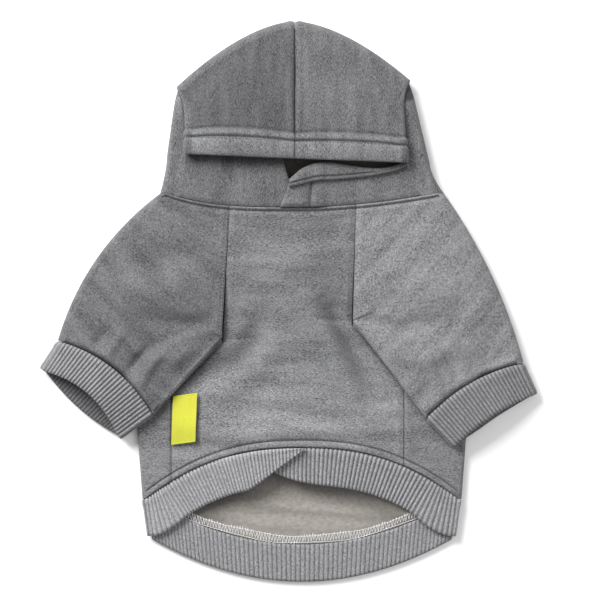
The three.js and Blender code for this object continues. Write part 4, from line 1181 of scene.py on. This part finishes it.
def hood_half(side):
    """The crown from the brow up to the top edge and down the back to the neck, the side from the crown's
    edge over the side strip to the back, and the cheek below the face."""
    hood = Hood(side)
    sign = side.sign
    seam_x = HOOD_MIDDLE + sign * SEAM_GAP / 2
    steps = CROWN_STEPS

    def crown_start(level):
        """First place of the side's row at a level."""
        return plan(hood.section(np.ravel(level)))[:, 0].reshape(np.shape(level))

    def back_start(level):
        """Last place of the side's row at a level."""
        return plan(hood.section(np.ravel(level)))[:, SIDE_COLUMNS].reshape(np.shape(level))

    def from_seam(curve):
        """The curve, but starting at the gap beside the centre seam."""
        return lambda across: np.where(
            np.asarray(across) == 0, seam_x + 1j * curve(across).imag, curve(across))

    crown_top = from_seam(hood.top_start)
    peak_y = hood.top_start(0.0).imag
    low_seam = seam_x + 1j * hood.mouth.imag
    brow_line = seam_x + 1j * BROW_HEIGHT
    crown = spread(lambda u: between(brow_line, crown_start(0.0), u), crown_top,
                   lambda v: seam_x + 1j * between(BROW_HEIGHT, peak_y, v), crown_start)
    back = spread(lambda u: between(low_seam, back_start(0.0), u), crown_top,
                  lambda v: seam_x + 1j * between(hood.mouth.imag, peak_y, v), back_start)

    def neck_back(across):
        """Along the back neck line, from the centre seam to the side."""
        return back_neck(between(seam_x, back_start(-1.0).real, across)) + 1j * SEAM_GAP / 2

    back_low = spread(lambda u: between(low_seam, back_start(0.0), u), neck_back,
                      lambda v: seam_x + 1j * between(hood.mouth.imag, neck_back(0.0).imag, v),
                      lambda v: back_start(-np.asarray(v)))

    def levels(across):
        """Level of every row at the given shares across: rows of the hem, then the rest up to the top."""
        hem = HEM_WIDTH / between(peak_y - BROW_HEIGHT, hood.corner.imag - hood.mouth.imag, across)
        upper = shares(CROWN_ROWS - len(HEM_LINES) + 1)[1:, None]
        return np.concatenate([hem * HEM_LINES[:, None], between(hem * HEM_LINES[-1], 1, upper)])

    across = shares(steps)[None]
    level = levels(across)
    across = np.broadcast_to(across, level.shape)
    past_hem = np.full(level.shape[0] - len(HEM_LINES), 2.0)
    hem = HEM_WIDTH * np.concatenate([HEM_LINES, past_hem])[:, None]
    hem_wall = between(HEM_WALL, FLEECE, smooth(hem, 16.4, 17.4)) + 0 * level
    width = np.abs(hood.corner.real - hood.peak.real)
    seam_dip = seam_relief(across * width, groove=0.8, puff=0.4) * smooth(hem, 15, 18)
    seam_dip = seam_dip - 0.3 * bell(across * width, 0, 0.8) * (hem < 17)

    point = crown(across, level)
    rise = crown_rise(level) + PUFF * np.sin(np.pi * level) * (1 - across ** 2)
    calm = smooth(1 - across, 0, 0.18) * smooth(1 - level, 0, 0.15)
    soft = ripple(point, 21 + sign) * 1.3 + folds_at(point, HOOD_FOLDS[side.name])
    rise = rise + soft * calm * smooth(level, 0.02, 0.25)
    # Painted shade in the centre seam's groove and in the brow's grooves; the tone makes the crown darker and
    # the turned hem lighter.
    tone = side.crown_tone * smooth(hem, 17, 20) - HEM_TONE * smooth(17 - hem, 0, 2)
    shade = bell(across * width, 0, 0.9) + across_strip(hem, BROW_SHADE) + tone
    upper = Cloth(point, rise, wall=hem_wall, relief=seam_dip + across_strip(hem, BROW_PROFILE), shade=shade)
    side_rows = hood.section(level[:, -1])
    edge_fade = 1 - smooth(np.arange(SIDE_COLUMNS + 1) / SIDE_COLUMNS, 0, 0.4)
    side_rows.wall = between(FLEECE, hem_wall[:, -1:], edge_fade[None])
    side_rows.relief = upper.relief[:, -1:] * edge_fade[None]
    for key, value in upper.__dict__.items():
        value[:, -1] = getattr(side_rows, key)[:, 0]

    turn, over = np.meshgrid(np.linspace(0, 1, SIDE_COLUMNS + 1)[1:-1], shares(steps), indexing="ij")
    top = turned(hood.top_edge(over), hood.top_out(over), CROWN_RISE, FLOOR, turn)
    top.middle[:, 0, 0] = seam_x
    top.relief = seam_relief(over * width, groove=0.8, puff=0.4)
    corner_rows = hood.section(1.0)
    for key, value in top.__dict__.items():
        value[:, -1] = getattr(corner_rows, key)[0, 1:-1]

    level, over = level[::-1], across
    lower = Cloth(back(over, level), FLOOR, (0, 0, -1))
    for key, value in lower.__dict__.items():
        value[:, -1] = getattr(side_rows, key)[::-1, -1]
    shell = Cloth.beside(upper, top, lower, axis=0)

    first = STEP_SPLIT * 5
    down_rows = np.concatenate([shares(30) * 0.72, between(0.72, 1, shares(18))[1:]])
    below = hood.section(-down_rows).cut(columns=slice(first, None))
    start = plan(below)[:, 0]
    ends = [x * HOOD_CORNERS + 1j * y * CHEEK_HEIGHT for x, y in side.cheek_end]

    def cheek_up(u):
        """The cheek's upper edge, from its free end; near the side it comes to the side's height."""
        u = np.asarray(u, float)
        height = curve_at(u, FLAP[:, :2]) - FLAP_TURN if side.lap else LEFT_CHEEK_TOP + 0 * u
        return between(ends[0].real, start[0].real, u) + 1j * between(height, start[0].imag, u ** 8)

    def cheek_down(u):
        """The cheek's seam along the front neck line."""
        return front_neck(between(ends[1].real, start[-1].real, u)) + 1j * SEAM_GAP / 2

    def cheek_end(v):
        """The cheek's free end, straight but bowed as a hump."""
        return between(cheek_up(0.0), cheek_down(0.0), v) + side.cheek_bow * hump(np.asarray(v))

    def cheek_side_line(v):
        """The cheek's edge at the side, down to the neck."""
        return plan(hood.section(-np.ravel(v)))[:, first].reshape(np.shape(v))

    cheek = spread(cheek_up, cheek_down, cheek_end, cheek_side_line)

    def cheek_rise(point, down):
        """From the cheek's rise to the neck's; the cheek that laps lies one layer higher."""
        lap = side.lap * (FLEECE + LAYER_GAP) * (1 - smooth(sign * point.real, LAP_REACH, LAP_REACH * 3.5))
        return between(CHEEK_RISE, neck_rise(point.real), down) + lap

    over, down = grid(graded(76, 0.9, 0.5, 6.0)[:-1], down_rows)
    point = cheek(over, down)
    from_neck = (point - front_neck(point.real)).imag
    from_end = over * np.abs(start[0].real - ends[0].real)
    relief = -0.5 * bell(from_neck, 0, 0.8) + 0.4 * bell(from_neck, 3.5, 2.0)
    under_brow = BROW_HEIGHT * between(1, side.brow_up, over) - point.imag
    # Painted shade in the neck seam's groove, and a painted shadow on the cheek beneath the brow.
    shade = 0.5 * bell(from_neck, 0, 0.9) + 0.9 * bell(np.maximum(under_brow, 0), 0, 5.0)
    if side.lap:
        hem_roll = 0.9 * roll(from_end, 8, 8.3) - 0.8 * bell(from_end, 17, 0.7)
        relief = relief + hem_roll * smooth(from_neck, 0, 3)
        # Painted shade in the tail's stitched groove.
        shade = shade + bell(from_end, 17, 0.7)
    calm = smooth(np.minimum(from_neck, from_end), 0, 9) * smooth(1 - over, 0, 0.1)
    rise = cheek_rise(point, down) + ripple(point, 31 + sign) * 1.4 * calm
    front = Cloth(point, rise, relief=relief - 0.6 * bell(from_end, 0, 0.8), shade=shade)
    over, down = grid(shares(steps)[::-1][1:], down_rows)
    under = Cloth(back_low(over, down), FLOOR, (0, 0, -1))
    patches = [(shell, None, 1), (side_rows, None, 1), (Cloth.beside(front, below, under), None, 1)]
    if side.lap:
        along = graded(76, 0.9, 0.5, 6.0)[None, :-1]
        turn = 1 - shares(12)[:, None]
        point = cheek_up(along)
        low = front.middle[:1, :along.size, 2]
        high = low + FLEECE + LAYER_GAP
        rolled = turned(point + 1j * FLAP_TURN + 0j * turn, 1j + 0j * (along + turn), high + 0 * turn,
                        low + 0 * turn, turn, outside=-1)
        depth = curve_at(along, FLAP[:, [0, 2]])
        share = shares(16)[1:, None]
        lift = 0.5 * roll(share, 0.45, 0.5) - 0.5 * bell(share * depth, depth - 2.6, 0.6)
        # The flap's shade is painted shade in its stitched groove.
        flap = Cloth(plan(rolled)[-1:] - 1j * depth * share, rolled.middle[-1:, :, 2] + lift, (0, 0, -1),
                     wall=FLEECE + lift, shade=bell(share * depth, depth - 2.6, 0.7))
        patches.append((Cloth.beside(rolled, flap, axis=0), None, 0))
    return wall_mesh(f"hood_{side.name}_cloth", patches)


WEAVE_HEIGHT = 0.03
WEAVE_PITCH = 0.9


def side_label():
    """The woven label flies from the left side seam, its free corners a little raised."""
    side = SIDES["left"]
    across, down = grid(shares(40), shares(80))
    left = side.belly_seam(1.0).real + LABEL_OFFSET
    top = -ARMPIT_DROP - LABEL_DROP
    y = top - LABEL_LENGTH * down - LABEL_SLANT * (1 - across)
    point = left + LABEL_WIDTH * across - LABEL_LEAN * down + 1j * y
    rise = body_rise(point) + body_ripple(point) + FLEECE / 2 + LAYER_GAP / 2 + LABEL_WALL / 2
    rise = rise + LABEL_LIFT + LABEL_CURL * across ** 2
    weave = WEAVE_HEIGHT * np.sin(across * LABEL_WIDTH * 2 * np.pi / WEAVE_PITCH)
    edge = np.minimum(np.minimum(across, 1 - across) * LABEL_WIDTH, np.minimum(down, 1 - down) * LABEL_LENGTH)
    relief = weave + 0.12 * bell(edge, 0.4, 0.4)
    return wall_mesh("label_cloth", [(Cloth(point, rise, wall=LABEL_WALL, relief=relief), None, 1)])


# Threads


def thread_mesh(name, lines, radius, sides=6):
    """Tubes along many centre lines at once: lines is an array of line, point, xyz."""
    lines = np.asarray(lines, float)
    way = np.gradient(lines, axis=1)
    way /= np.linalg.norm(way, axis=-1, keepdims=True)
    across = np.cross(way, (0.0, 0.0, 1.0))
    across /= np.linalg.norm(across, axis=-1, keepdims=True)
    up = np.cross(across, way)
    angle = np.arange(sides) * 2 * np.pi / sides
    ring = (across[:, :, None] * np.cos(angle)[:, None] + up[:, :, None] * np.sin(angle)[:, None]) * radius
    points = lines[:, :, None] + ring
    count, length = lines.shape[:2]
    ids = np.arange(count * length * sides).reshape(count, length, sides)
    nxt = np.roll(ids, -1, 2)
    quads = np.stack([ids[:, :-1], nxt[:, :-1], nxt[:, 1:], ids[:, 1:]], -1).reshape(-1, 4)
    caps = np.concatenate([ids[:, 0, ::-1], ids[:, -1]])
    loops = np.concatenate([quads.ravel(), caps.ravel()])
    sizes = np.concatenate([np.full(len(quads), 4), np.full(len(caps), sides)])
    mesh = bpy.data.meshes.new(name)
    mesh.vertices.add(ids.size)
    mesh.vertices.foreach_set("co", ((points.reshape(-1, 3) + SHIFT) / 1000).ravel())
    mesh.loops.add(len(loops))
    mesh.loops.foreach_set("vertex_index", loops)
    mesh.polygons.add(len(sizes))
    mesh.polygons.foreach_set("loop_start", np.concatenate([[0], np.cumsum(sizes)[:-1]]))
    mesh.polygons.foreach_set("use_smooth", np.ones(len(sizes), bool))
    mesh.update(calc_edges=True)
    mesh.validate()
    piece = bpy.data.objects.new(name, mesh)
    bpy.context.scene.collection.objects.link(piece)
    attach(piece, "root")
    return piece


def top_of(pieces, place, high=0.1):
    """Height of the uppermost surface of some pieces at places in plan, in millimetres."""
    meshes = [piece.data for piece in pieces]
    trees = [BVHTree.FromPolygons([v.co for v in mesh.vertices], [f.vertices for f in mesh.polygons])
             for mesh in meshes]
    heights = []
    for spot in np.ravel(place):
        above = ((spot.real + SHIFT[0]) / 1000, (spot.imag + SHIFT[1]) / 1000, high)
        hits = [tree.ray_cast(above, (0, 0, -1))[0] for tree in trees]
        heights.append(max([hit.z * 1000 for hit in hits if hit], default=np.nan))
    return np.reshape(heights, np.shape(place))


def stitches(name, pieces, lines, pitch=2.4, length=1.3, radius=0.17, sink=0.05):
    """Short lengths of thread in rows along lines that run over some pieces."""
    dashes = []
    for line in lines:
        fine = np.linspace(0, 1, 400)
        spots = np.interp(fine, np.linspace(0, 1, len(line)), np.real(line)) + 1j * np.interp(
            fine, np.linspace(0, 1, len(line)), np.imag(line))
        along = np.concatenate([[0], np.cumsum(np.abs(np.diff(spots)))])
        starts = np.arange(0.4, along[-1] - length, pitch)
        at = starts[:, None] + np.array([0, 0.5, 1]) * length
        dashes.append(np.interp(at, along, spots.real) + 1j * np.interp(at, along, spots.imag))
    dashes = np.concatenate(dashes)
    rise = top_of(pieces, dashes) + radius - sink - np.array([0.16, 0, 0.16])
    found = ~np.isnan(rise).any(1)
    return thread_mesh(name, np.stack([dashes.real, dashes.imag, rise], -1)[found], radius)


CLOTH_PIECES = ("belly_cloth", "back_cloth", "sleeve_left_cloth", "sleeve_right_cloth", "hood_left_cloth",
                "hood_right_cloth")


def stitch_lines():
    """Rows of stitches in plan: along the neck, the brow, the hem and the seams of the body."""
    x = np.linspace(-92, 92, 60)
    hem_x = np.linspace(-96, 96, 60)
    share = shares(40)
    brow = [side_mouth(SIDES["left"]), HOOD_MIDDLE + 1j * BROW_HEIGHT, side_mouth(SIDES["right"])]
    seams = []
    for side in SIDES.values():
        top = front_neck(side.sign * side.yoke * YOKE_WIDTH)
        seams.append(between(top - 5j, side.armpit, share * 0.96) + side.sign * SEAM_STITCH)
        seams.append(side.beside_seam(share * 0.9 + 0.04, SEAM_STITCH))
    return {"neck_stitches": [front_neck(x) - 1j * NECK_STITCH],
            "brow_stitches": [np.array(brow) + 1j * BROW_STITCH],
            "hem_stitches": [front_hem(hem_x) + 1j * HEM_STITCH],
            "seam_stitches": seams}


def side_mouth(side):
    """The lower corner of the face opening on one side, a share of its width and height out from its
    middle."""
    return HOOD_MIDDLE + side.mouth * FACE_WIDTH * side.sign + 1j * side.brow_up * BROW_HEIGHT


# The overlock inside the back hem: teeth of its zigzag, the heights of their ends, and of the two edges.
TEETH = 86
TOOTH_ENDS = (0.4, 6.0)
OVERLOCK_EDGES = (0.8, 5.6)
OVERLOCK_RADIUS = 0.15
EDGE_RADIUS = 0.16


def overlock():
    """White thread over the cut edge inside the back hem: close zigzags between two uneven edges."""
    half = HEM_SPAN / 2 - 28
    low, high = TOOTH_ENDS
    x = np.linspace(-half, half, TEETH * 2)
    rng = np.random.default_rng(70)
    uneven = rng.normal(0, 0.4, len(x)) + 0.7 * np.sin(x / 9) + 0.4 * np.sin(x / 3.7)
    x = x + rng.normal(0, 0.2, len(x))
    y = back_hem(x).imag + 0.6 + np.where(np.arange(len(x)) % 2, high, low) + uneven
    zigzag = np.stack([x, y, FLEECE + 0.45 + 0 * x], -1)
    fine = np.linspace(0, len(x) - 1, len(x) * 5)
    zigzag = np.stack([np.interp(fine, np.arange(len(x)), zigzag[:, k]) for k in range(3)], -1)[None]
    x = np.linspace(-half, half, 700)
    edges = []
    for up in OVERLOCK_EDGES:
        y = back_hem(x).imag + up + 0.5 * np.sin(x / 9 + up) + 0.25 * np.sin(x * 2.6 + up)
        edges.append(np.stack([x, y, FLEECE + 0.5 + 0 * x], -1))
    return [thread_mesh("overlock_0", zigzag, OVERLOCK_RADIUS, 5),
            thread_mesh("overlock_edges", np.stack(edges), EDGE_RADIUS, 5)]


# Materials


# How the cloth's colour is mixed: the weight of the finest noise, how far the mixed noise runs to either
# side of its mean from dark to light, and what full painted shade leaves of the colour.
FINE_WEIGHT = 0.35
NOISE_REACH = 0.24
PAINTED_SHADE_STRENGTH = 0.8
PAINTED_SHADE_COLOUR = (0.25, 0.25, 0.25, 1)


def node_of(tree, kind, values=None, **settings):
    """A new shader node with some settings and input values."""
    node = tree.nodes.new(kind)
    for key, value in settings.items():
        setattr(node, key, value)
    for key, value in (values or {}).items():
        node.inputs[key].default_value = value
    return node


def heather(name, light, dark, turn=0.0, grain=(0.32, 0.95), contrast=1.0, patches=0.42, bump=0.25,
            sheen=0.12):
    """Brushed heathered cloth: dark fibres streak a light ground along one way, finer ones cross it, and
    the shade marked on the mesh darkens it: painted shade in grooves, creases and hollows, and painted
    shadows under overhangs; where the mark is below zero it lightens instead."""
    material = bpy.data.materials.new(name)
    material.use_nodes = True
    tree = material.node_tree
    shader = tree.nodes["Principled BSDF"]
    shader.inputs["Roughness"].default_value = 0.95
    shader.inputs["Specular IOR Level"].default_value = 0.15
    shader.inputs["Sheen Weight"].default_value = sheen
    shader.inputs["Sheen Roughness"].default_value = 0.6
    place = node_of(tree, "ShaderNodeTexCoord")
    turned_by = (0, 0, np.radians(turn))
    fibre = (grain[0] / 1000, grain[1] / 1000, grain[0] / 1000)
    streaks = node_of(tree, "ShaderNodeMapping", {"Rotation": turned_by, "Scale": fibre},
                      vector_type="TEXTURE")
    noise = node_of(tree, "ShaderNodeTexNoise", {"Scale": 0.6, "Detail": 2.0, "Roughness": 0.6})
    fine = node_of(tree, "ShaderNodeTexNoise", {"Scale": 1500.0, "Detail": 1.0})
    bands = node_of(tree, "ShaderNodeMapping", {"Rotation": turned_by, "Scale": (0.006, 0.028, 0.01)},
                    vector_type="TEXTURE")
    patchy = node_of(tree, "ShaderNodeTexNoise", {"Scale": 0.7, "Detail": 4.0, "Roughness": 0.6})
    middle = 0.5 + FINE_WEIGHT * 0.5 + patches * 0.5
    curve = node_of(tree, "ShaderNodeMapRange", {"From Min": middle - NOISE_REACH / contrast,
                                                 "From Max": middle + NOISE_REACH / contrast})
    add = node_of(tree, "ShaderNodeMath", {1: FINE_WEIGHT}, operation="MULTIPLY_ADD")
    wide = node_of(tree, "ShaderNodeMath", {1: patches}, operation="MULTIPLY_ADD")
    mix = node_of(tree, "ShaderNodeMix", data_type="RGBA")
    mix.inputs["A"].default_value = (*dark, 1)
    mix.inputs["B"].default_value = (*light, 1)
    # This node reads the painted shade marked on the mesh: in grooves, creases and hollows, and shadows under
    # overhangs.
    groove = node_of(tree, "ShaderNodeAttribute", attribute_name="shade")
    painted_dimming = node_of(tree, "ShaderNodeMath", {1: PAINTED_SHADE_STRENGTH}, operation="MULTIPLY")
    darker = node_of(tree, "ShaderNodeMix", data_type="RGBA", blend_type="MULTIPLY", clamp_factor=False)
    darker.inputs["B"].default_value = PAINTED_SHADE_COLOUR
    rough = node_of(tree, "ShaderNodeBump", {"Strength": bump, "Distance": 0.0006})
    link = tree.links.new
    link(place.outputs["Object"], streaks.inputs["Vector"])
    link(streaks.outputs["Vector"], noise.inputs["Vector"])
    link(place.outputs["Object"], fine.inputs["Vector"])
    link(place.outputs["Object"], bands.inputs["Vector"])
    link(bands.outputs["Vector"], patchy.inputs["Vector"])
    link(fine.outputs["Fac"], add.inputs[0])
    link(noise.outputs["Fac"], add.inputs[2])
    link(patchy.outputs["Fac"], wide.inputs[0])
    link(add.outputs["Value"], wide.inputs[2])
    link(wide.outputs["Value"], curve.inputs["Value"])
    link(curve.outputs["Result"], mix.inputs["Factor"])
    link(groove.outputs["Fac"], painted_dimming.inputs[0])
    link(painted_dimming.outputs["Value"], darker.inputs["Factor"])
    link(mix.outputs["Result"], darker.inputs["A"])
    link(darker.outputs["Result"], shader.inputs["Base Color"])
    link(noise.outputs["Fac"], rough.inputs["Height"])
    link(rough.outputs["Normal"], shader.inputs["Normal"])
    return material


def linear(grey, red=0.0, green=0.0, blue=0.0):
    """A colour as the eye counts it, 0 to 255, turned to the light that a surface gives back."""
    value = (np.array([red, green, blue]) + grey) / 255
    return tuple(((value + 0.055) / 1.055) ** 2.4)


# The add-on


def colour_setting(name, words, grey, **tint):
    """A colour that the panel shows, given as a grey and what red, green and blue add to it."""
    return bpy.props.FloatVectorProperty(name=name, description=words, default=linear(grey, **tint), size=3,
                                         subtype="COLOR", min=0, max=1)


class HoodieColours(bpy.types.PropertyGroup):
    """Colours of the cloth."""
    fleece: colour_setting("Fleece", "Light fibres of the fleece", 134, blue=2)
    fibre: colour_setting("Fibre", "Dark fibres of the fleece", 52, blue=2)
    lining: colour_setting("Lining", "Brushed inside of the fleece", 146, red=4, blue=-7)
    label: colour_setting("Label", "Woven side label", 184, blue=-124)
    thread: colour_setting("Thread", "Overlock and hem stitches", 238)


class HoodieStage(bpy.types.PropertyGroup):
    """Size and light of the studio."""
    span: bpy.props.FloatProperty(name="Span", description="Width of the picture on the floor", default=0.42,
                                  unit="LENGTH")
    height: bpy.props.FloatProperty(name="Height", description="Camera above the floor", default=1.5,
                                    unit="LENGTH")
    key: bpy.props.FloatProperty(name="Key light", description="Power of the key light in watts",
                                 default=36.0)
    fill: bpy.props.FloatProperty(name="Fill", description="Brightness of the surroundings", default=0.46)


def cloth_materials(name, turn, light=0, contrast=1.0, grain=(0.32, 0.95), patches=0.42,
                    lining="brushed_lining", painted_dimming=1.0):
    """Outside and lining of a piece. The light value moves its tone in steps of the eye's scale from 150, and
    the fibres run at right angles to the turn given in degrees."""
    colours = bpy.context.scene.hoodie_colours
    step = np.array(linear(150 + light)) / np.array(linear(150))
    outside = heather(name, tuple(np.array(colours.fleece) * step), tuple(np.array(colours.fibre) * step),
                      turn, grain, contrast, patches)
    # The lining's colour is scaled down deep in the hood: painted shade.
    pile = np.array(colours.lining) * painted_dimming
    inside = bpy.data.materials.get(lining) or heather(
        lining, tuple(pile), tuple(pile * 0.62), 90, (1.1, 1.8), 0.8, bump=0.3, sheen=0.2)
    return [outside, inside]


# Tones of the pieces as the eye counts them, the way of the sleeves' fibres, the knit's contrast, grain in
# millimetres and patches, and how much of the lining's colour is left deep in the hood, as painted shade.
BODY_LIGHT = 2
SLEEVE_LIGHT = {"left": -22, "right": 12}
SLEEVE_TURN = {"left": 50, "right": -42}
HOOD_LIGHT = {"left": -26, "right": -20}
CUFF_LIGHT = 24
BAND_LIGHT = 40
KNIT_LOOK = (0.7, (0.4, 0.8), 0.12)
THREAD_GRAIN = (0.5, 0.5)
HOOD_LINING_SHADE = 0.3
# The middle of the picture in plan.
PICTURE_MIDDLE = [-1.4, -64.4, 0]


class HOODIE_OT_body(bpy.types.Operator):
    """Belly and back panels, spread between their seams and humped where the cloth is full of air"""
    bl_idname = "hoodie.body"
    bl_label = "Body"

    def execute(self, context):
        materials = cloth_materials("body_fleece", 90, BODY_LIGHT)
        lay_cloth(belly_panel(), "belly_panel",
                  (BELLY_WIDTH + BELLY_FLARE, BELLY_LENGTH + HEM_ARCH), materials)
        lay_cloth(back_panel(), "back_panel", (2 * CHEST_WIDTH - BELLY_WIDTH, BACK_LENGTH),
                  materials)
        return {"FINISHED"}


class HOODIE_OT_sleeves(bpy.types.Operator):
    """Sleeves, each a flattened tube whose outer fold bows from the neck to the cuff"""
    bl_idname = "hoodie.sleeves"
    bl_label = "Sleeves"

    def execute(self, context):
        for name, side in SIDES.items():
            materials = cloth_materials(f"sleeve_{name}_fleece", SLEEVE_TURN[name], SLEEVE_LIGHT[name])
            lay_cloth(sleeve(side), f"sleeve_{name}", SLEEVE_FLAT,
                      materials)
        return {"FINISHED"}


class HOODIE_OT_ribs(bpy.types.Operator):
    """Cuffs and waistband: strips whose thickness swells and shrinks as a rounded wave along their length"""
    bl_idname = "hoodie.ribs"
    bl_label = "Cuffs and waistband"

    def execute(self, context):
        cuffs = cloth_materials("cuff_knit", 0, CUFF_LIGHT, *KNIT_LOOK)[0]
        knit = cloth_materials("rib_knit", 0, BAND_LIGHT, *KNIT_LOOK)[0]
        for name, side in SIDES.items():
            lay_cloth(cuff(side), f"cuff_{name}", (CUFF_GIRTH, CUFF_LENGTH),
                      [cuffs, cuffs])
        lay_cloth(waistband(), "waistband", (2 * HEM_SPAN + BAND_OVERLAP, WAISTBAND + 1),
                  [knit, knit])
        return {"FINISHED"}


class HOODIE_OT_hood(bpy.types.Operator):
    """Hood halves, spread from the centre seam over the side pleat to the back layer"""
    bl_idname = "hoodie.hood"
    bl_label = "Hood"

    def execute(self, context):
        for name, side in SIDES.items():
            materials = cloth_materials(f"hood_{name}_fleece", 0, HOOD_LIGHT[name], lining="hood_lining_painted_shade",
                                        painted_dimming=HOOD_LINING_SHADE)
            lay_cloth(hood_half(side), f"hood_{name}", HOOD_FLAT, materials)
        return {"FINISHED"}


class HOODIE_OT_trims(bpy.types.Operator):
    """Side label and overlock thread: a small sheet with a fine weave, and tubes along a zigzag"""
    bl_idname = "hoodie.trims"
    bl_label = "Label and threads"

    def execute(self, context):
        colours = context.scene.hoodie_colours
        yellow = heather("label_weave", tuple(colours.label), tuple(np.array(colours.label) * 0.8), 0,
                         THREAD_GRAIN, 0.7, bump=0.1, sheen=0.1)
        lay_cloth(side_label(), "side_label", (LABEL_WIDTH + 0.2, LABEL_LENGTH + 0.6),
                  [yellow, yellow])
        white = heather("white_thread", tuple(colours.thread), tuple(np.array(colours.thread) * 0.8), 0,
                        THREAD_GRAIN, 0.5, bump=0.1)
        grey = heather("grey_thread", linear(150), linear(110), 0, THREAD_GRAIN, 0.5, bump=0.1)
        # The dark thread of the neck, brow and hem stitches is painted shade: it stands for shaded stitch
        # holes.
        dark = heather("stitch_hole_shade_thread", linear(50), linear(40), 0, THREAD_GRAIN, 0.5, bump=0.1)
        for piece in overlock():
            piece.data.materials.append(white)
        cloth = [bpy.data.objects[name] for name in CLOTH_PIECES]
        for name, lines in stitch_lines().items():
            piece = stitches(name, cloth, lines)
            piece.data.materials.append(grey if name == "seam_stitches" else dark)
        return {"FINISHED"}


class HOODIE_OT_stage(bpy.types.Operator):
    """Pale floor, soft lights and a camera that looks straight down"""
    bl_idname = "hoodie.stage"
    bl_label = "Studio"

    def execute(self, context):
        scene = context.scene
        stage = scene.hoodie_stage
        mesh = bpy.data.meshes.new("floor")
        mesh.from_pydata([(-4, -4, 0), (4, -4, 0), (4, 4, 0), (-4, 4, 0)], [], [(0, 1, 2, 3)])
        floor = bpy.data.objects.new("floor", mesh)
        floor.location.z = -0.0007
        paper = bpy.data.materials.new("paper")
        paper.use_nodes = True
        paper.node_tree.nodes["Principled BSDF"].inputs["Base Color"].default_value = (0.93, 0.93, 0.93, 1)
        paper.node_tree.nodes["Principled BSDF"].inputs["Roughness"].default_value = 0.9
        mesh.materials.append(paper)
        made = [floor]
        for name, place, size, share in (
            ("key", (-0.72, 0.82, 0.75), 0.75, 1.0),
            ("fill", (0.9, 0.2, 1.1), 1.2, 0.2),
        ):
            light = bpy.data.lights.new(name, "AREA")
            light.size = size
            light.energy = stage.key * share
            lamp = bpy.data.objects.new(name, light)
            lamp.location = place
            lamp.rotation_euler = (-lamp.location).to_track_quat("-Z", "Y").to_euler()
            made.append(lamp)
        camera = bpy.data.cameras.new("camera")
        camera.lens = camera.sensor_width * stage.height / stage.span
        eye = bpy.data.objects.new("camera", camera)
        middle = (np.array(PICTURE_MIDDLE) + SHIFT) / 1000
        eye.location = (middle[0], middle[1], stage.height)
        made.append(eye)
        for thing in made:
            scene.collection.objects.link(thing)
        scene.camera = eye
        world = bpy.data.worlds.new("studio")
        world.use_nodes = True
        world.node_tree.nodes["Background"].inputs["Color"].default_value = (1, 1, 1, 1)
        world.node_tree.nodes["Background"].inputs["Strength"].default_value = stage.fill
        scene.world = world
        scene.view_settings.view_transform = "Standard"
        return {"FINISHED"}


STEPS = (HOODIE_OT_body, HOODIE_OT_sleeves, HOODIE_OT_ribs, HOODIE_OT_hood, HOODIE_OT_trims, HOODIE_OT_stage)


class HOODIE_PT_panel(bpy.types.Panel):
    """Lists the settings and the steps in their order."""
    bl_idname = "HOODIE_PT_panel"
    bl_label = "Dog Hoodie"
    bl_space_type = "VIEW_3D"
    bl_region_type = "UI"
    bl_category = "Hoodie"

    def draw(self, context):
        for group in (context.scene.hoodie_colours, context.scene.hoodie_stage):
            for key in group.__annotations__:
                self.layout.prop(group, key)
        for step in STEPS:
            self.layout.operator(step.bl_idname)


CLASSES = (HoodieColours, HoodieStage, *STEPS, HOODIE_PT_panel)


def register():
    for item in CLASSES:
        bpy.utils.register_class(item)
    bpy.types.Scene.hoodie_colours = bpy.props.PointerProperty(type=HoodieColours)
    bpy.types.Scene.hoodie_stage = bpy.props.PointerProperty(type=HoodieStage)


def unregister():
    del bpy.types.Scene.hoodie_stage
    del bpy.types.Scene.hoodie_colours
    for item in reversed(CLASSES):
        bpy.utils.unregister_class(item)


def main():
    register()
    for step in STEPS:
        group, name = step.bl_idname.split(".")
        getattr(getattr(bpy.ops, group), name)()


if __name__ == "__main__":
    main()
